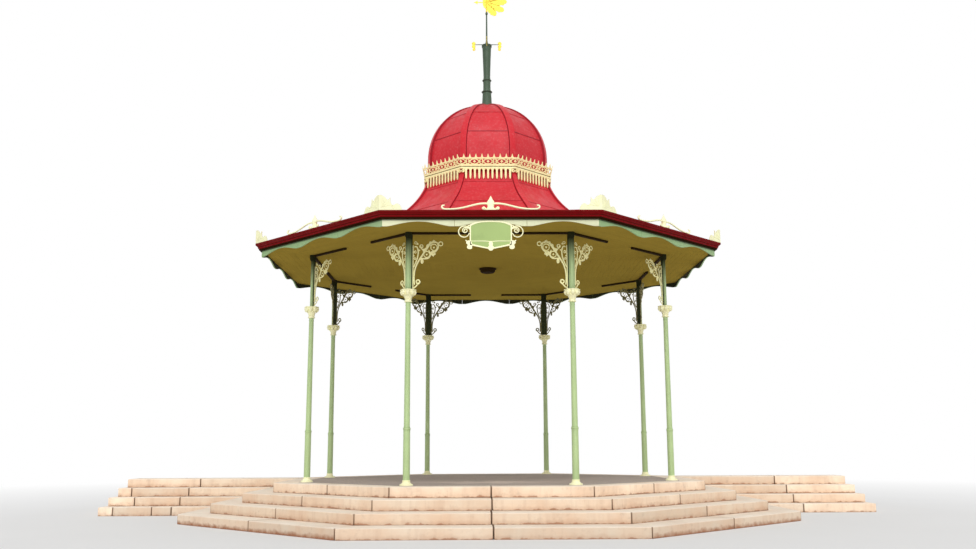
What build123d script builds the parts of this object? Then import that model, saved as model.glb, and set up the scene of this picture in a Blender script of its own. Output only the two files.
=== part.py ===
from build123d import *
import os
from math import cos, radians, sin, sqrt, tan

# A cast-iron park bandstand on eight columns, with an ogee roof and a stepped stone platform.
# Millimetres. Z is up and 0 is the ground. The origin is under the middle of the octagon.
# The front side faces -Y.

# Plan of the octagon
side_count = 8
column_circle = 3660

# Stone platform
step_count = 3
step_rise = 170
step_tread = 507
step_lap = 93
kerb_apothem = 3951
kerb_width = 420
rear_wall = 300
stone_joint = 4

# Straight steps beside the platform, given at the lowest one
wing_front = -100
wing_tread = 350
wing_end = 7700
wing_end_tread = 60

# Columns
ceiling_height = 4275
upper_shaft = 1003
capital_height = 219
base_radius = 100
base_flange = 18
base_height = 105
shaft_foot_radius = 59
collar_height = 940
collar_radius = 64
collar_thickness = 28
shaft_mid_radius = 50
shaft_top_radius = 43
capital_bead_radius = 69
capital_bead = 24
capital_neck_radius = 60
abacus_radius = 142
abacus_hollow = 20
abacus_thickness = 52
upper_core_radius = 42
upper_rib_reach = 68
upper_rib_width = 30

# Cast brackets
bracket_thickness = 26
bracket_lift = 13
bracket_reach = 505
bracket_rise = 765
bracket_stem_width = 18
bracket_vine_width = 24
ring_hole_share = 0.5
ring_sides = 8

# Arms under the ceiling
arm_reach = 1036
arm_width = 60
arm_depth = 35

# Ceiling and its round fitting
ceiling_thickness = 25
vent_radius = 165
vent_depth = 95
vent_flange = 20

# Shaped board under the gutter
valance_apothem = 4290
valance_thickness = 25
valance_below_ceiling = 101
valance_above_ceiling = 111
valance_arch_rise = 82
valance_drop_width = 160
arches_per_side = 3

# Gutter
gutter_reach = 114
gutter_height = 125
gutter_above_board = 31
gutter_lip = 30
gutter_wall = 14
eaves_joint = 2

# Low roof and neck
roof_board = 40
roof_overhang = 20
roof_pitch = 13.5
roof_lap = 90
neck_foot_apothem = 1990
neck_foot_pitch = 45.3
neck_straight = 595
neck_height = 1071

# Dome
dome_apothem = 1200
dome_upright = 385
dome_rise = 1310
dome_wall = 35
crown_hole = 80
ledge_depth = 45
ledge_reach = 84
ledge_bevel = 24

# Rolls over the corners of the roof
roll_width = 100
roll_proud = 25
roll_root = 28
roll_gap = 60
roll_stop = 158

# Cresting round the dome
crest_thickness = 18
crest_lean = 12.7
crest_rail = 80
crest_band = 110
crest_bar = 16
crest_lap = 4
picket_count = 9
picket_height = 118
picket_width = 30
pendant_count = 12
pendant_length = 214
pendant_width = 26
pendant_margin = 70

# Ornaments on the gutter
ornament_thickness = 20
rim_inset = 2
shell_length = 375
shell_height = 255
bud_height = 230
bud_width = 110
bud_scroll = 42
rail_reach = 790
rail_rise = 150
rail_width = 22

# Plaque
plaque_width = 646
plaque_height = 299
plaque_arch = 60
plaque_point = 72
plaque_below_gutter = 25
plaque_border = 22
plaque_board_thickness = 16
plaque_frame_thickness = 24
plaque_foot_width = 74
plaque_foot_length = 62
plaque_scroll_radius = 122
plaque_inner_scroll_radius = 52
plaque_drop_radius = 31

# Finial post
seat_gap = 0.3
cap_radius = 150
cap_thickness = 40
post_foot_rise = 81
post_foot_radius = 104
ring_spacing = 272
lower_ring_radius = 116
upper_ring_radius = 100
ring_thickness = 28
post_neck_radius = 80
post_waist_radius = 73
post_shaft = 791
post_top_radius = 98
post_collar_radius = 110
post_collar_thickness = 40

# Compass arms
arm_hub_radius = 60
arm_hub_depth = 30
compass_reach = 280
compass_rod_radius = 9
compass_upper_curl = 44
compass_lower_curl = 36

# Weather vane and its rod
spindle_length = 767
spindle_foot_radius = 24
spindle_foot_length = 60
spindle_radius = 11
shoulder_radius = 30
running_clearance = 0.05
hub_radius = 20
hub_length = 520
hub_play = 70
cap_ball_radius = 34
vane_thickness = 12
vane_nose = 190
vane_head = 90
vane_bar = 24
vane_tail = 450
plume_width = 84

# Sizes that follow from the ones above
side_turn = 360 / side_count
half_turn = side_turn / 2
side_slope = tan(radians(half_turn))
corner_spread = 1 / cos(radians(half_turn))
step_top = step_rise * step_count
floor_top = step_top + step_rise
step_apothems = [kerb_apothem + step_tread * (step_count - index) for index in range(step_count)]
rear_line = kerb_apothem * side_slope
far_out = 2 * wing_end
capital_top = ceiling_height - upper_shaft
capital_foot = capital_top - capital_height
ceiling_bottom = floor_top + ceiling_height
board_bottom = ceiling_bottom - valance_below_ceiling
board_top = ceiling_bottom + valance_above_ceiling
gutter_apothem = valance_apothem + gutter_reach
gutter_top = board_top + gutter_above_board
gutter_bottom = gutter_top - gutter_height
roof_edge = valance_apothem + roof_overhang
roof_slope = tan(radians(roof_pitch))
roof_rise = roof_board / cos(radians(roof_pitch))
neck_top = board_top + (valance_apothem - neck_foot_apothem) * roof_slope + roof_rise + neck_height
dome_foot = neck_top + ledge_depth
dome_spring = dome_foot + dome_upright
ledge_apothem = dome_apothem + ledge_reach
crest_apothem = ledge_apothem + seat_gap + crest_thickness
crest_rail_foot = dome_foot - ledge_depth / 4 - crest_rail / 2
ornament_apothem = gutter_apothem - rim_inset
plaque_top = gutter_bottom - plaque_below_gutter - plaque_border - plaque_arch
crown_seat = dome_spring + dome_rise * sqrt(1 - (crown_hole / dome_apothem) ** 2) + seat_gap
post_foot = crown_seat + post_foot_rise
lower_ring = post_foot + ring_spacing
upper_ring = lower_ring + ring_spacing
post_top = upper_ring + post_shaft
shoulder = post_top + spindle_length
hub_foot = shoulder + seat_gap
spindle_top = hub_foot + hub_length + hub_play
vane_height = hub_foot + hub_length * 0.45

# The outward section of one side: x is the distance from the axis, y the height
section_plane = Plane(origin=(0, 0, 0), x_dir=(0, -1, 0), z_dir=(-1, 0, 0))


def half_width(apothem):
    """Half the length of one side of an octagon."""
    return apothem * side_slope


def face_plane(apothem, height=0, lean=0):
    """The plane of the front side at a distance from the axis, leaning outward."""
    tilt = radians(lean)
    return Plane(origin=(0, -apothem, height), x_dir=(1, 0, 0), z_dir=(0, -cos(tilt), -sin(tilt)))


def outline(*points):
    """A closed face with straight edges."""
    return make_face(Polyline(*points, close=True))


def mirrored(*points):
    """A closed face from the right half of its outline, given from the bottom to the top."""
    left = [(-x, y) for x, y in reversed(points) if x]
    return outline(*points, *left)


def all_sides(shape):
    """The same piece on every side of the octagon."""
    return [Rot(0, 0, side_turn * index) * shape for index in range(side_count)]


def side_wedge(joint):
    """The space of the front side between its two corner planes."""
    tip = joint / 2 / sin(radians(half_turn))
    spread = far_out * side_slope
    plan = outline((0, -tip), (spread, -tip - far_out), (-spread, -tip - far_out))
    return extrude(plan, amount=far_out)


def side_runs(section, joint):
    """One section run along every side and mitred at the corners."""
    run = extrude(section_plane * section, amount=far_out / 2, both=True)
    return all_sides(run & side_wedge(joint))


def bar(path, width):
    """A flat bar of even width along a path."""
    return trace(path, line_width=width)


def ring(x, y, radius, hole):
    """A flat ring with a few straight sides."""
    return Pos(x, y) * (RegularPolygon(radius, ring_sides) - RegularPolygon(hole, ring_sides))


def turned(*points):
    """A solid turned about the Z axis from pairs of radius and height."""
    return revolve(Plane.XZ * outline(*points), Axis.Z)


def save(name, *shapes):
    """Write one node's solids to its own file."""
    solids = [solid for shape in shapes for solid in shape.solids()]
    node = solids[0] if len(solids) == 1 else Compound(children=solids)
    export_step(node, f"parts/{name}.step")


# Stone platform
def octagon(apothem):
    """A flat octagon with a side to the front."""
    turns = [radians(half_turn + side_turn * index) for index in range(side_count)]
    radius = apothem * corner_spread
    return outline(*[(radius * cos(turn), radius * sin(turn)) for turn in turns])


def front_plan(apothem, back):
    """The plan of a course: five sides to the front and a straight back."""
    half = half_width(apothem)
    return outline(
        (-half, -apothem), (half, -apothem), (apothem, -half),
        (apothem, back), (-apothem, back), (-apothem, -half),
    )


def rear_plan(apothem):
    """The plan of an octagon's part behind the back of the courses."""
    half = half_width(apothem)
    reach = apothem + half - rear_line
    return outline((-reach, rear_line), (reach, rear_line), (half, apothem), (-half, apothem))


def core_plan(index):
    """What lies inside the stones of one course and of the rear wall."""
    inner = (step_apothems + [kerb_apothem])[index + 1] - step_lap
    rear = rear_plan(kerb_apothem - rear_wall)
    reach = kerb_apothem - rear_wall * (1 + side_slope)
    return front_plan(inner, rear_line - rear_wall) + front_plan(reach, rear_line) + rear


def step_course(index):
    """One course of the steps: a run of stones round five sides that returns along the back."""
    plan = front_plan(step_apothems[index], rear_line) - core_plan(index)
    return extrude(Pos(0, 0, step_rise * index) * plan, amount=step_rise)


def rear_platform():
    """The upright wall behind the platform, under the kerb."""
    plan = rear_plan(kerb_apothem) - rear_plan(kerb_apothem - rear_wall)
    return extrude(plan, amount=step_top)


def platform_core():
    """The platform's inside, which carries the paving and steps in with the courses."""
    levels = [Pos(0, 0, step_rise * index) * core_plan(index) for index in range(step_count)]
    core = extrude(levels[0], amount=step_rise)
    for level in levels[1:]:
        core += extrude(level, amount=step_rise)
    return core


def kerb_stones():
    """The top course, a ring of mitred stones."""
    inner = kerb_apothem - kerb_width
    section = outline(
        (inner, step_top), (kerb_apothem, step_top), (kerb_apothem, floor_top), (inner, floor_top)
    )
    return side_runs(section, stone_joint)


def floor_paving():
    """The paved floor inside the kerb."""
    plan = octagon(kerb_apothem - kerb_width - stone_joint)
    return extrude(Pos(0, 0, step_top) * plan, amount=step_rise)


def wing_step(level, hand):
    """One straight course beside the platform, on the right with hand 1, on the left with -1."""
    inner = hand * ((step_apothems + [kerb_apothem])[level] + stone_joint)
    outer = hand * (wing_end - wing_end_tread * level)
    front = wing_front + wing_tread * level
    plan = outline((inner, front), (outer, front), (outer, rear_line), (inner, rear_line))
    return extrude(Pos(0, 0, step_rise * level) * plan, amount=step_rise)


# Columns and brackets, with the column on the Z axis and its foot at 0
def abacus():
    """The capital's leafy head: a ring of sixteen leaf tips and hollows."""
    radii = [abacus_radius, abacus_radius - abacus_hollow] * side_count
    turns = [radians(half_turn * index) for index in range(len(radii))]
    points = [(radius * cos(turn), radius * sin(turn)) for radius, turn in zip(radii, turns)]
    foot = capital_top - abacus_thickness
    return extrude(Pos(0, 0, foot) * outline(*points), amount=abacus_thickness)


def column():
    """A column with its outer side to +X: bell base, collared shaft, capital and clustered head."""
    collar_foot = collar_height - collar_thickness
    bead_top = capital_foot + capital_bead
    head_foot = capital_top - abacus_thickness
    shaft = turned(
        (0, 0), (base_radius, 0), (base_radius, base_flange),
        (shaft_foot_radius * 1.1, base_height * 0.7), (shaft_foot_radius, base_height),
        (shaft_foot_radius, collar_foot),
        (collar_radius, collar_foot), (collar_radius, collar_height),
        (shaft_mid_radius, collar_height), (shaft_top_radius, capital_foot),
        (capital_bead_radius, capital_foot), (capital_bead_radius, bead_top),
        (capital_neck_radius, bead_top + capital_bead), (abacus_radius - abacus_hollow, head_foot),
        (0, head_foot),
    )
    rib = Pos(upper_rib_reach / 2, 0) * Rectangle(upper_rib_reach, upper_rib_width)
    cluster = RegularPolygon(upper_core_radius, side_count)
    for turn in (0, 180, 90 + half_turn, -90 - half_turn):
        cluster += Rot(0, 0, turn) * rib
    head = extrude(Pos(0, 0, capital_top) * cluster, amount=upper_shaft)
    return shaft + abacus() + head


def bracket():
    """One cast bracket in the XZ plane, growing along +X from the column's clustered head."""
    def at(reach, rise):
        """A point of the casting, from its foot on the rib to its tip under the ceiling."""
        return upper_rib_reach + bracket_reach * reach, capital_top + bracket_lift + bracket_rise * rise

    def scroll(reach, rise, radius):
        """A scroll of the casting, an open ring."""
        size = bracket_rise * radius
        return ring(*at(reach, rise), size, size * ring_hole_share)

    half_stem = bracket_stem_width / 2
    stem = Pos(half_stem, 0) * bar(Line(at(0, 0), at(0, 1)), bracket_stem_width)
    vine = bar(ThreePointArc(at(0.04, 0.04), at(0.08, 0.37), at(0.27, 0.7)), bracket_vine_width)
    foot_scroll = bar(ThreePointArc(at(0.03, 0.05), at(0.11, 0.07), at(0.17, 0.12)), bracket_vine_width)
    upper = ThreePointArc(at(0.23, 0.66), at(0.4, 0.93), at(0.81, 1.09))
    lower = ThreePointArc(at(0.81, 1.09), at(0.53, 0.83), at(0.23, 0.66))
    frond = make_face(upper + lower)
    tendril = bar(ThreePointArc(at(0.03, 0.5), at(0.19, 0.72), at(0.1, 1)), bracket_vine_width)
    art = stem + vine + foot_scroll + frond + tendril
    art += scroll(0.17, 0.15, 0.056)
    art += scroll(0.47, 0.78, 0.085)
    art += scroll(0.69, 0.93, 0.09)
    art += scroll(0.85, 1.01, 0.064)
    art += scroll(0.32, 0.93, 0.06)
    art += bar(Line(at(0.25, 0.7), at(0.34, 0.61)), bracket_vine_width)
    art += Pos(*at(0.34, 0.61)) * RegularPolygon(bracket_vine_width * 1.2, ring_sides)
    art += Pos(*at(0.7, 0.83)) * RegularPolygon(bracket_vine_width * 1.2, ring_sides)
    return extrude(Plane.XZ * art, amount=bracket_thickness / 2, both=True)


def eaves_arm():
    """One bar under the ceiling, growing along +X from the column's head."""
    length = arm_reach - upper_rib_reach - arm_width / 2
    plan = Pos(upper_rib_reach + length / 2, 0) * Rectangle(length, arm_width)
    plan += Pos(arm_reach - arm_width / 2, 0) * Circle(arm_width / 2)
    return extrude(Pos(0, 0, ceiling_height - arm_depth) * plan, amount=arm_depth)


def at_column(index):
    """The place of a column: on a corner of the octagon, with its outer side turned outward."""
    turn = -90 + half_turn + side_turn * index
    return Pos(0, 0, floor_top) * Rot(0, 0, turn) * Pos(column_circle, 0, 0)


def along_bays(shape):
    """The same piece along both bays that meet at a column."""
    return [Rot(0, 0, hand * (90 + half_turn)) * shape for hand in (1, -1)]


# Eaves
def ceiling():
    """The flat boarded ceiling."""
    plan = octagon(valance_apothem - valance_thickness)
    return extrude(Pos(0, 0, ceiling_bottom) * plan, amount=ceiling_thickness)


def ceiling_vent():
    """The round dark fitting in the middle of the ceiling."""
    low = ceiling_bottom - vent_depth
    rim = ceiling_bottom - vent_flange
    return turned(
        (0, low), (vent_radius * 0.67, low), (vent_radius * 0.91, low + vent_depth * 0.16),
        (vent_radius, low + vent_depth * 0.58), (vent_radius, rim), (vent_radius + vent_flange, rim),
        (vent_radius + vent_flange, ceiling_bottom), (0, ceiling_bottom),
    )


def valance():
    """The shaped boards under the gutter, with shallow arches along the lower edge."""
    half = half_width(valance_apothem)
    pitch = 2 * half / arches_per_side
    crown = board_bottom + valance_arch_rise
    point = (-half, board_bottom)
    lines = Line((-half, board_top), point)
    for index in range(arches_per_side):
        start = (-half + pitch * index + valance_drop_width / 2, board_bottom)
        middle = (-half + pitch * (index + 0.5), crown)
        end = (-half + pitch * (index + 1) - valance_drop_width / 2, board_bottom)
        lines += Line(point, start)
        lines += ThreePointArc(start, middle, end)
        point = end
    lines += Polyline(point, (half, board_bottom), (half, board_top), (-half, board_top))
    board = extrude(face_plane(valance_apothem) * make_face(lines), amount=-valance_thickness)
    return all_sides(board & side_wedge(eaves_joint))


def gutter():
    """The moulded gutter, an open trough with mouldings on its face."""
    def at(out, up):
        """A point of the moulded face, from the board's foot to the rim."""
        return valance_apothem + gutter_reach * out, gutter_bottom + gutter_height * up

    back = valance_apothem
    rim = gutter_apothem - gutter_wall
    lip = board_top - gutter_lip
    face = outline(
        at(0, 0), at(0.4, 0), at(0.46, 0.21), at(0.63, 0.3), at(0.68, 0.61), at(1, 0.74), at(1, 1), at(0, 1)
    )
    trough = outline(
        (back, lip), (back + gutter_wall, lip), (back + gutter_wall, gutter_bottom + gutter_height * 0.3),
        at(0.42, 0.35), at(0.52, 0.68), (rim, gutter_bottom + gutter_height * 0.82),
        (rim, gutter_top + gutter_lip), (back, gutter_top + gutter_lip),
    )
    return side_runs(face - trough, eaves_joint)


# Roof
def roof_under(apothem):
    """Height of the low roof's underside at a distance from the axis."""
    return board_top + (valance_apothem - apothem) * roof_slope


def roof_over(apothem):
    """Height of the low roof's upper face at a distance from the axis."""
    return roof_under(apothem) + roof_rise


def low_roof_section():
    """Section of the low-pitched roof."""
    inner = neck_foot_apothem - roof_lap
    return outline(
        (roof_edge, roof_under(roof_edge)), (roof_edge, roof_over(roof_edge)),
        (inner, roof_over(inner)), (inner, roof_under(inner)),
    )


def band(outer, inner):
    """The face between two curves that run the same way."""
    return make_face(outer + Line(outer @ 1, inner @ 1) + inner + Line(inner @ 0, outer @ 0))


def neck_line(shift, spread=1):
    """The neck's side, straight and then curving upright, shifted outward and spread from the axis."""
    run = neck_straight * cos(radians(neck_foot_pitch)) * spread
    climb = neck_straight * sin(radians(neck_foot_pitch))
    foot = neck_foot_apothem * spread + shift
    height = roof_over(foot / spread)
    bend = (foot - run, roof_over(neck_foot_apothem) + climb)
    top = (dome_apothem * spread + shift, neck_top)
    return Line((foot, height), bend) + TangentArc(bend, top, tangent=(-run, climb))


def neck_section():
    """Section of the flared neck between the low roof and the dome."""
    return band(neck_line(0), neck_line(-dome_wall))


def dome_line(apothem, rise, stop):
    """A dome's side: upright, then curving over to a distance from the axis."""
    def height(distance):
        """Height of the curve at a distance from the axis."""
        return dome_spring + rise * sqrt(1 - (distance / apothem) ** 2)

    shoulder_reach = apothem * sqrt(0.5)
    upright = Line((apothem, dome_foot), (apothem, dome_spring))
    curve = ThreePointArc(
        (apothem, dome_spring), (shoulder_reach, height(shoulder_reach)), (stop, height(stop))
    )
    return upright + curve


def dome_section():
    """Section of the dome's sheet."""
    outer = dome_line(dome_apothem, dome_rise, crown_hole)
    inner = dome_line(dome_apothem - dome_wall, dome_rise - dome_wall, crown_hole)
    return band(outer, inner)


def ledge_section():
    """Section of the moulded ledge that carries the cresting."""
    inner = dome_apothem - dome_wall
    return outline(
        (inner, neck_top), (ledge_apothem - ledge_bevel, neck_top),
        (ledge_apothem, neck_top + ledge_depth / 2), (ledge_apothem, dome_foot), (inner, dome_foot),
    )


def corner_bars(bar_section, *sheet_sections):
    """Flat bars over the corners, seated on the sheets on both sides of them."""
    flat = extrude(section_plane * bar_section, amount=roll_width / 2, both=True)
    flat = Rot(0, 0, half_turn) * flat
    for section in sheet_sections:
        sheet = extrude(section_plane * section, amount=far_out / 2, both=True) & side_wedge(0)
        flat = flat - sheet - Rot(0, 0, side_turn) * sheet
    return all_sides(flat)


def hip_rolls():
    """The rolls over the corners of the low roof."""
    outer = roof_edge * corner_spread
    inner = neck_foot_apothem * corner_spread + roll_gap
    high = roof_over(roof_edge)
    top = roof_over(inner / corner_spread)
    section = outline(
        (outer, high - roll_root), (outer, high + roll_proud),
        (inner, top + roll_proud), (inner, top - roll_root),
    )
    return corner_bars(section, low_roof_section())


def neck_rolls():
    """The rolls over the corners of the neck."""
    section = band(neck_line(roll_proud, corner_spread), neck_line(-roll_root, corner_spread))
    return corner_bars(section, neck_section(), low_roof_section())


def dome_rolls():
    """The rolls over the corners of the dome."""
    radius = dome_apothem * corner_spread
    outer = dome_line(radius + roll_proud, dome_rise + roll_proud, roll_stop)
    inner = dome_line(radius - roll_root, dome_rise - roll_root, roll_stop)
    return corner_bars(band(outer, inner), dome_section())


# Cresting round the foot of the dome
def spaced(count, width):
    """Centres of evenly spaced things across a width."""
    pitch = width / count
    return [-width / 2 + pitch * (index + 0.5) for index in range(count)]


def crest_fringe(width):
    """The rail with its fringe of drops, the rail's foot at height 0."""
    fringe = Pos(0, crest_rail / 2) * Rectangle(1.5 * width, crest_rail)
    half = pendant_width / 2
    for x in spaced(pendant_count, width - 2 * pendant_margin):
        drop = mirrored((0, -pendant_length), (half, -pendant_length * 0.82), (half * 0.6, crest_lap))
        fringe += Pos(x, 0) * drop
    return fringe


def crest_fence(width):
    """The leaning band of diamonds between two bars, with a picket over each diamond."""
    fence = Pos(0, crest_bar / 2) * Rectangle(1.5 * width, crest_bar)
    fence += Pos(0, crest_band - crest_bar / 2) * Rectangle(1.5 * width, crest_bar)
    reach = (crest_band - crest_bar) / 2
    half = picket_width / 2
    diamond = mirrored((0, -reach), (reach * 0.9, 0), (0, reach))
    for x in spaced(picket_count, width):
        fence += Pos(x, crest_band / 2) * diamond
        picket = mirrored((half * 0.5, -crest_lap), (half, picket_height * 0.55), (0, picket_height))
        fence += Pos(x, crest_band) * picket
    return fence


def cresting():
    """A cast fence with pickets above its rail, and a fringe of drops below."""
    width = 2 * half_width(crest_apothem)
    rail = face_plane(crest_apothem, crest_rail_foot)
    hinge = face_plane(crest_apothem, crest_rail_foot + crest_rail - crest_lap, crest_lean)
    lower = extrude(rail * crest_fringe(width), amount=-crest_thickness)
    upper = extrude(hinge * crest_fence(width), amount=-crest_thickness)
    return all_sides((lower + upper) & side_wedge(eaves_joint))


# Ornaments on the gutter
def stand_on_gutter(art):
    """A flat casting standing on the gutter's outer rim."""
    return extrude(face_plane(ornament_apothem, gutter_top) * art, amount=-ornament_thickness)


def corner_ornaments():
    """Shell-shaped wings folded round each corner of the gutter."""
    half = half_width(ornament_apothem)
    ribs = [
        (-0.1, 0), (-0.1, 0.84), (0.03, 1), (0.18, 0.88), (0.3, 0.58), (0.42, 0.76),
        (0.5, 0.43), (0.72, 0.31), (0.88, 0.43), (0.93, 0.29), (1, 0),
    ]
    wing = outline(*[(half - shell_length * along, shell_height * up) for along, up in ribs])
    right = stand_on_gutter(wing) & side_wedge(0)
    left = Rot(0, 0, side_turn) * mirror(right, Plane.YZ)
    return all_sides(right + left)


def side_ornaments():
    """A bud between two scrolls in the middle of each side, with a long curved rail each way."""
    half = bud_width / 2
    art = mirrored(
        (half * 0.5, 0), (half * 0.6, bud_height * 0.3), (half, bud_height * 0.55),
        (half * 0.55, bud_height * 0.8), (0, bud_height),
    )
    dip = (rail_reach * 0.76, rail_width / 2 - rim_inset)
    for hand in (1, -1):
        art += ring(hand * (half * 0.5 + bud_scroll * 0.8), bud_scroll * 0.9, bud_scroll, bud_scroll * ring_hole_share)
        fall = ThreePointArc(
            (0, rail_rise), (hand * dip[0] * 0.48, rail_rise * 0.62), (hand * dip[0], dip[1])
        )
        curl = ThreePointArc(
            (hand * dip[0], dip[1]), (hand * rail_reach * 0.92, rail_rise * 0.2), (hand * rail_reach, rail_rise * 0.62)
        )
        art += bar(fall, rail_width)
        art += bar(curl, rail_width)
    art = art & Pos(0, bud_height) * Rectangle(4 * rail_reach, 2 * bud_height)
    return all_sides(stand_on_gutter(art))


# Plaque under the front gutter
def plaque_outline(border):
    """The plaque's outline, grown by a border."""
    half = plaque_width / 2 + border
    top = plaque_top + border
    low = plaque_top - plaque_height - border
    arch = ThreePointArc((half, top), (0, top + plaque_arch), (-half, top))
    return make_face(arch + Polyline((-half, top), (-half, low), (0, low - plaque_point), (half, low), (half, top)))


def plaque_board():
    """The painted board."""
    board = offset(plaque_outline(0), -seat_gap)
    return extrude(face_plane(valance_apothem + plaque_board_thickness) * board, amount=-plaque_board_thickness)


def plaque_frame():
    """The cast border, with a foot and two scrolls at each side and a drop in the middle."""
    frame = plaque_outline(plaque_border)
    edge = plaque_width / 2 + plaque_border
    low = plaque_top - plaque_height
    outer = plaque_scroll_radius
    inner = plaque_inner_scroll_radius
    for hand in (1, -1):
        foot = Rectangle(plaque_foot_width, plaque_foot_length)
        frame += Pos(hand * (edge + plaque_foot_width / 2 - plaque_border), low - plaque_foot_length / 2) * foot
        frame += ring(hand * (edge + outer * 0.53), plaque_top - outer * 0.74, outer, outer - plaque_border)
        frame += ring(hand * (edge + inner * 0.6), plaque_top - outer * 0.45, inner, inner * ring_hole_share)
    frame += Pos(0, low - plaque_point - plaque_border) * RegularPolygon(plaque_drop_radius, 4)
    frame -= plaque_outline(0)
    plane = face_plane(valance_apothem + plaque_frame_thickness)
    return extrude(plane * frame, amount=-plaque_frame_thickness)


# Finial and weather vane
def finial_post():
    """The turned post on the crown of the dome, with two rings and a collar."""
    edge = ring_thickness / 2
    shaft_swell = post_top - post_shaft * 0.37
    return turned(
        (0, crown_seat), (cap_radius, crown_seat), (cap_radius, crown_seat + cap_thickness),
        (post_foot_radius, post_foot), (post_foot_radius * 0.9, lower_ring - 1.5 * edge),
        (lower_ring_radius, lower_ring - edge), (lower_ring_radius, lower_ring + edge),
        (post_neck_radius, lower_ring + 2 * edge), (post_neck_radius, upper_ring - 2 * edge),
        (upper_ring_radius, upper_ring - edge), (upper_ring_radius, upper_ring + edge),
        (post_waist_radius, upper_ring + 3 * edge), (post_waist_radius * 1.15, shaft_swell),
        (post_top_radius, post_top - post_collar_thickness * 1.25),
        (post_collar_radius, post_top - post_collar_thickness), (post_collar_radius, post_top), (0, post_top),
    )


def compass_arms():
    """Four arms on a hub, each with a drooping gilt scroll at its end."""
    hub = Circle(arm_hub_radius) - Circle(spindle_foot_radius + seat_gap)
    cross = extrude(Pos(0, 0, post_top) * hub, amount=arm_hub_depth)
    height = post_top + arm_hub_depth / 2
    root = (arm_hub_radius + spindle_foot_radius) / 2
    length = compass_reach - root
    rod = Pos(compass_reach - length / 2, 0, height) * Rot(0, 90, 0) * Cylinder(compass_rod_radius, length)
    upper = compass_upper_curl
    lower = compass_lower_curl
    drop = height - upper * 0.85
    curl = ring(compass_reach, drop, upper, upper * ring_hole_share)
    curl += ring(compass_reach, drop - (upper + lower) * 0.88, lower, lower * ring_hole_share)
    scroll = extrude(Plane.XZ * curl, amount=compass_rod_radius, both=True)
    for index in range(4):
        cross += Rot(0, 0, 90 * index) * (rod + scroll)
    return cross


def vane_spindle():
    """The rod above the post, with the ball that the vane turns on."""
    ball = shoulder_radius
    return turned(
        (0, post_top), (spindle_foot_radius, post_top), (spindle_foot_radius, post_top + spindle_foot_length),
        (spindle_foot_radius * 0.6, shoulder - 2 * ball), (ball * 0.85, shoulder - 1.6 * ball),
        (ball, shoulder - ball), (ball * 0.85, shoulder - ball * 0.4), (hub_radius, shoulder),
        (spindle_radius, shoulder), (spindle_radius, spindle_top), (0, spindle_top),
    )


def spindle_cap():
    """The gilt ball on the top of the rod, over the vane."""
    ball = cap_ball_radius
    return turned(
        (0, spindle_top), (ball * 0.6, spindle_top), (ball * 0.9, spindle_top + ball * 0.5),
        (ball, spindle_top + ball), (ball * 0.8, spindle_top + ball * 1.6), (0, spindle_top + 2.6 * ball),
    )


def weather_vane():
    """A gilt vane on a tube: an arrow's nose to the left and a tail of five plumes to the right."""
    half = plume_width / 2
    art = Pos(-vane_nose / 2, 0) * Rectangle(vane_nose, vane_bar)
    art += outline((-vane_nose, vane_head / 2), (-vane_nose - vane_head, 0), (-vane_nose, -vane_head / 2))
    for turn, share in ((62, 0.78), (32, 0.96), (2, 1), (-28, 0.96), (-58, 0.82)):
        reach = vane_tail * share
        plume = outline(
            (0, -half * 0.6), (reach * 0.45, -half), (reach * 0.8, -half * 1.2), (reach, 0),
            (reach * 0.8, half * 0.8), (reach * 0.45, half * 0.7), (0, half * 0.6),
        )
        art += Rot(0, 0, turn) * plume
    blade = extrude(Plane.XZ * Pos(0, vane_height) * art, amount=vane_thickness / 2, both=True)
    middle = hub_foot + hub_length / 2
    tube = Pos(0, 0, middle) * Cylinder(hub_radius, hub_length)
    bore = Pos(0, 0, middle) * Cylinder(spindle_radius + running_clearance, 2 * hub_length)
    return blade + tube - bore


def save_all():
    """Build and write every node."""
    os.makedirs("parts", exist_ok=True)
    for index in range(step_count):
        save(f"step_course_{index + 1}", step_course(index))
    save("rear_platform", rear_platform())
    save("platform_core", platform_core())
    save("kerb_course", *kerb_stones())
    save("floor_paving", floor_paving())
    for hand, name in ((-1, "left"), (1, "right")):
        for level in range(step_count + 1):
            save(f"{name}_wing_step_{level + 1}", wing_step(level, hand))
    pillar = column()
    pair = along_bays(bracket())
    arms = []
    for index in range(side_count):
        place = at_column(index)
        save(f"column_{index + 1}", place * pillar)
        save(f"brackets_{index + 1}", *[place * shape for shape in pair])
        arms += [place * shape for shape in along_bays(eaves_arm())]
    save("eaves_arms", *arms)
    save("ceiling", ceiling())
    save("ceiling_vent", ceiling_vent())
    save("valance", *valance())
    save("gutter", *gutter())
    save("lower_roof", *side_runs(low_roof_section(), eaves_joint))
    save("roof_neck", *side_runs(neck_section(), eaves_joint))
    save("dome", *side_runs(dome_section(), eaves_joint))
    save("dome_ledge", *side_runs(ledge_section(), eaves_joint))
    save("hip_rolls", *hip_rolls(), *neck_rolls())
    save("dome_rolls", *dome_rolls())
    save("cresting", *cresting())
    save("corner_ornaments", *corner_ornaments())
    save("side_ornaments", *side_ornaments())
    save("plaque_board", plaque_board())
    save("plaque_frame", plaque_frame())
    save("finial_post", finial_post())
    save("compass_arms", compass_arms())
    save("vane_spindle", vane_spindle())
    save("spindle_cap", spindle_cap())
    save("weather_vane", weather_vane())


save_all()
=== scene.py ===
import random
from math import atan2, cos, hypot, pi, radians, sin, tan, tau

import bmesh
import bpy
from mathutils import Matrix, Vector, noise


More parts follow.
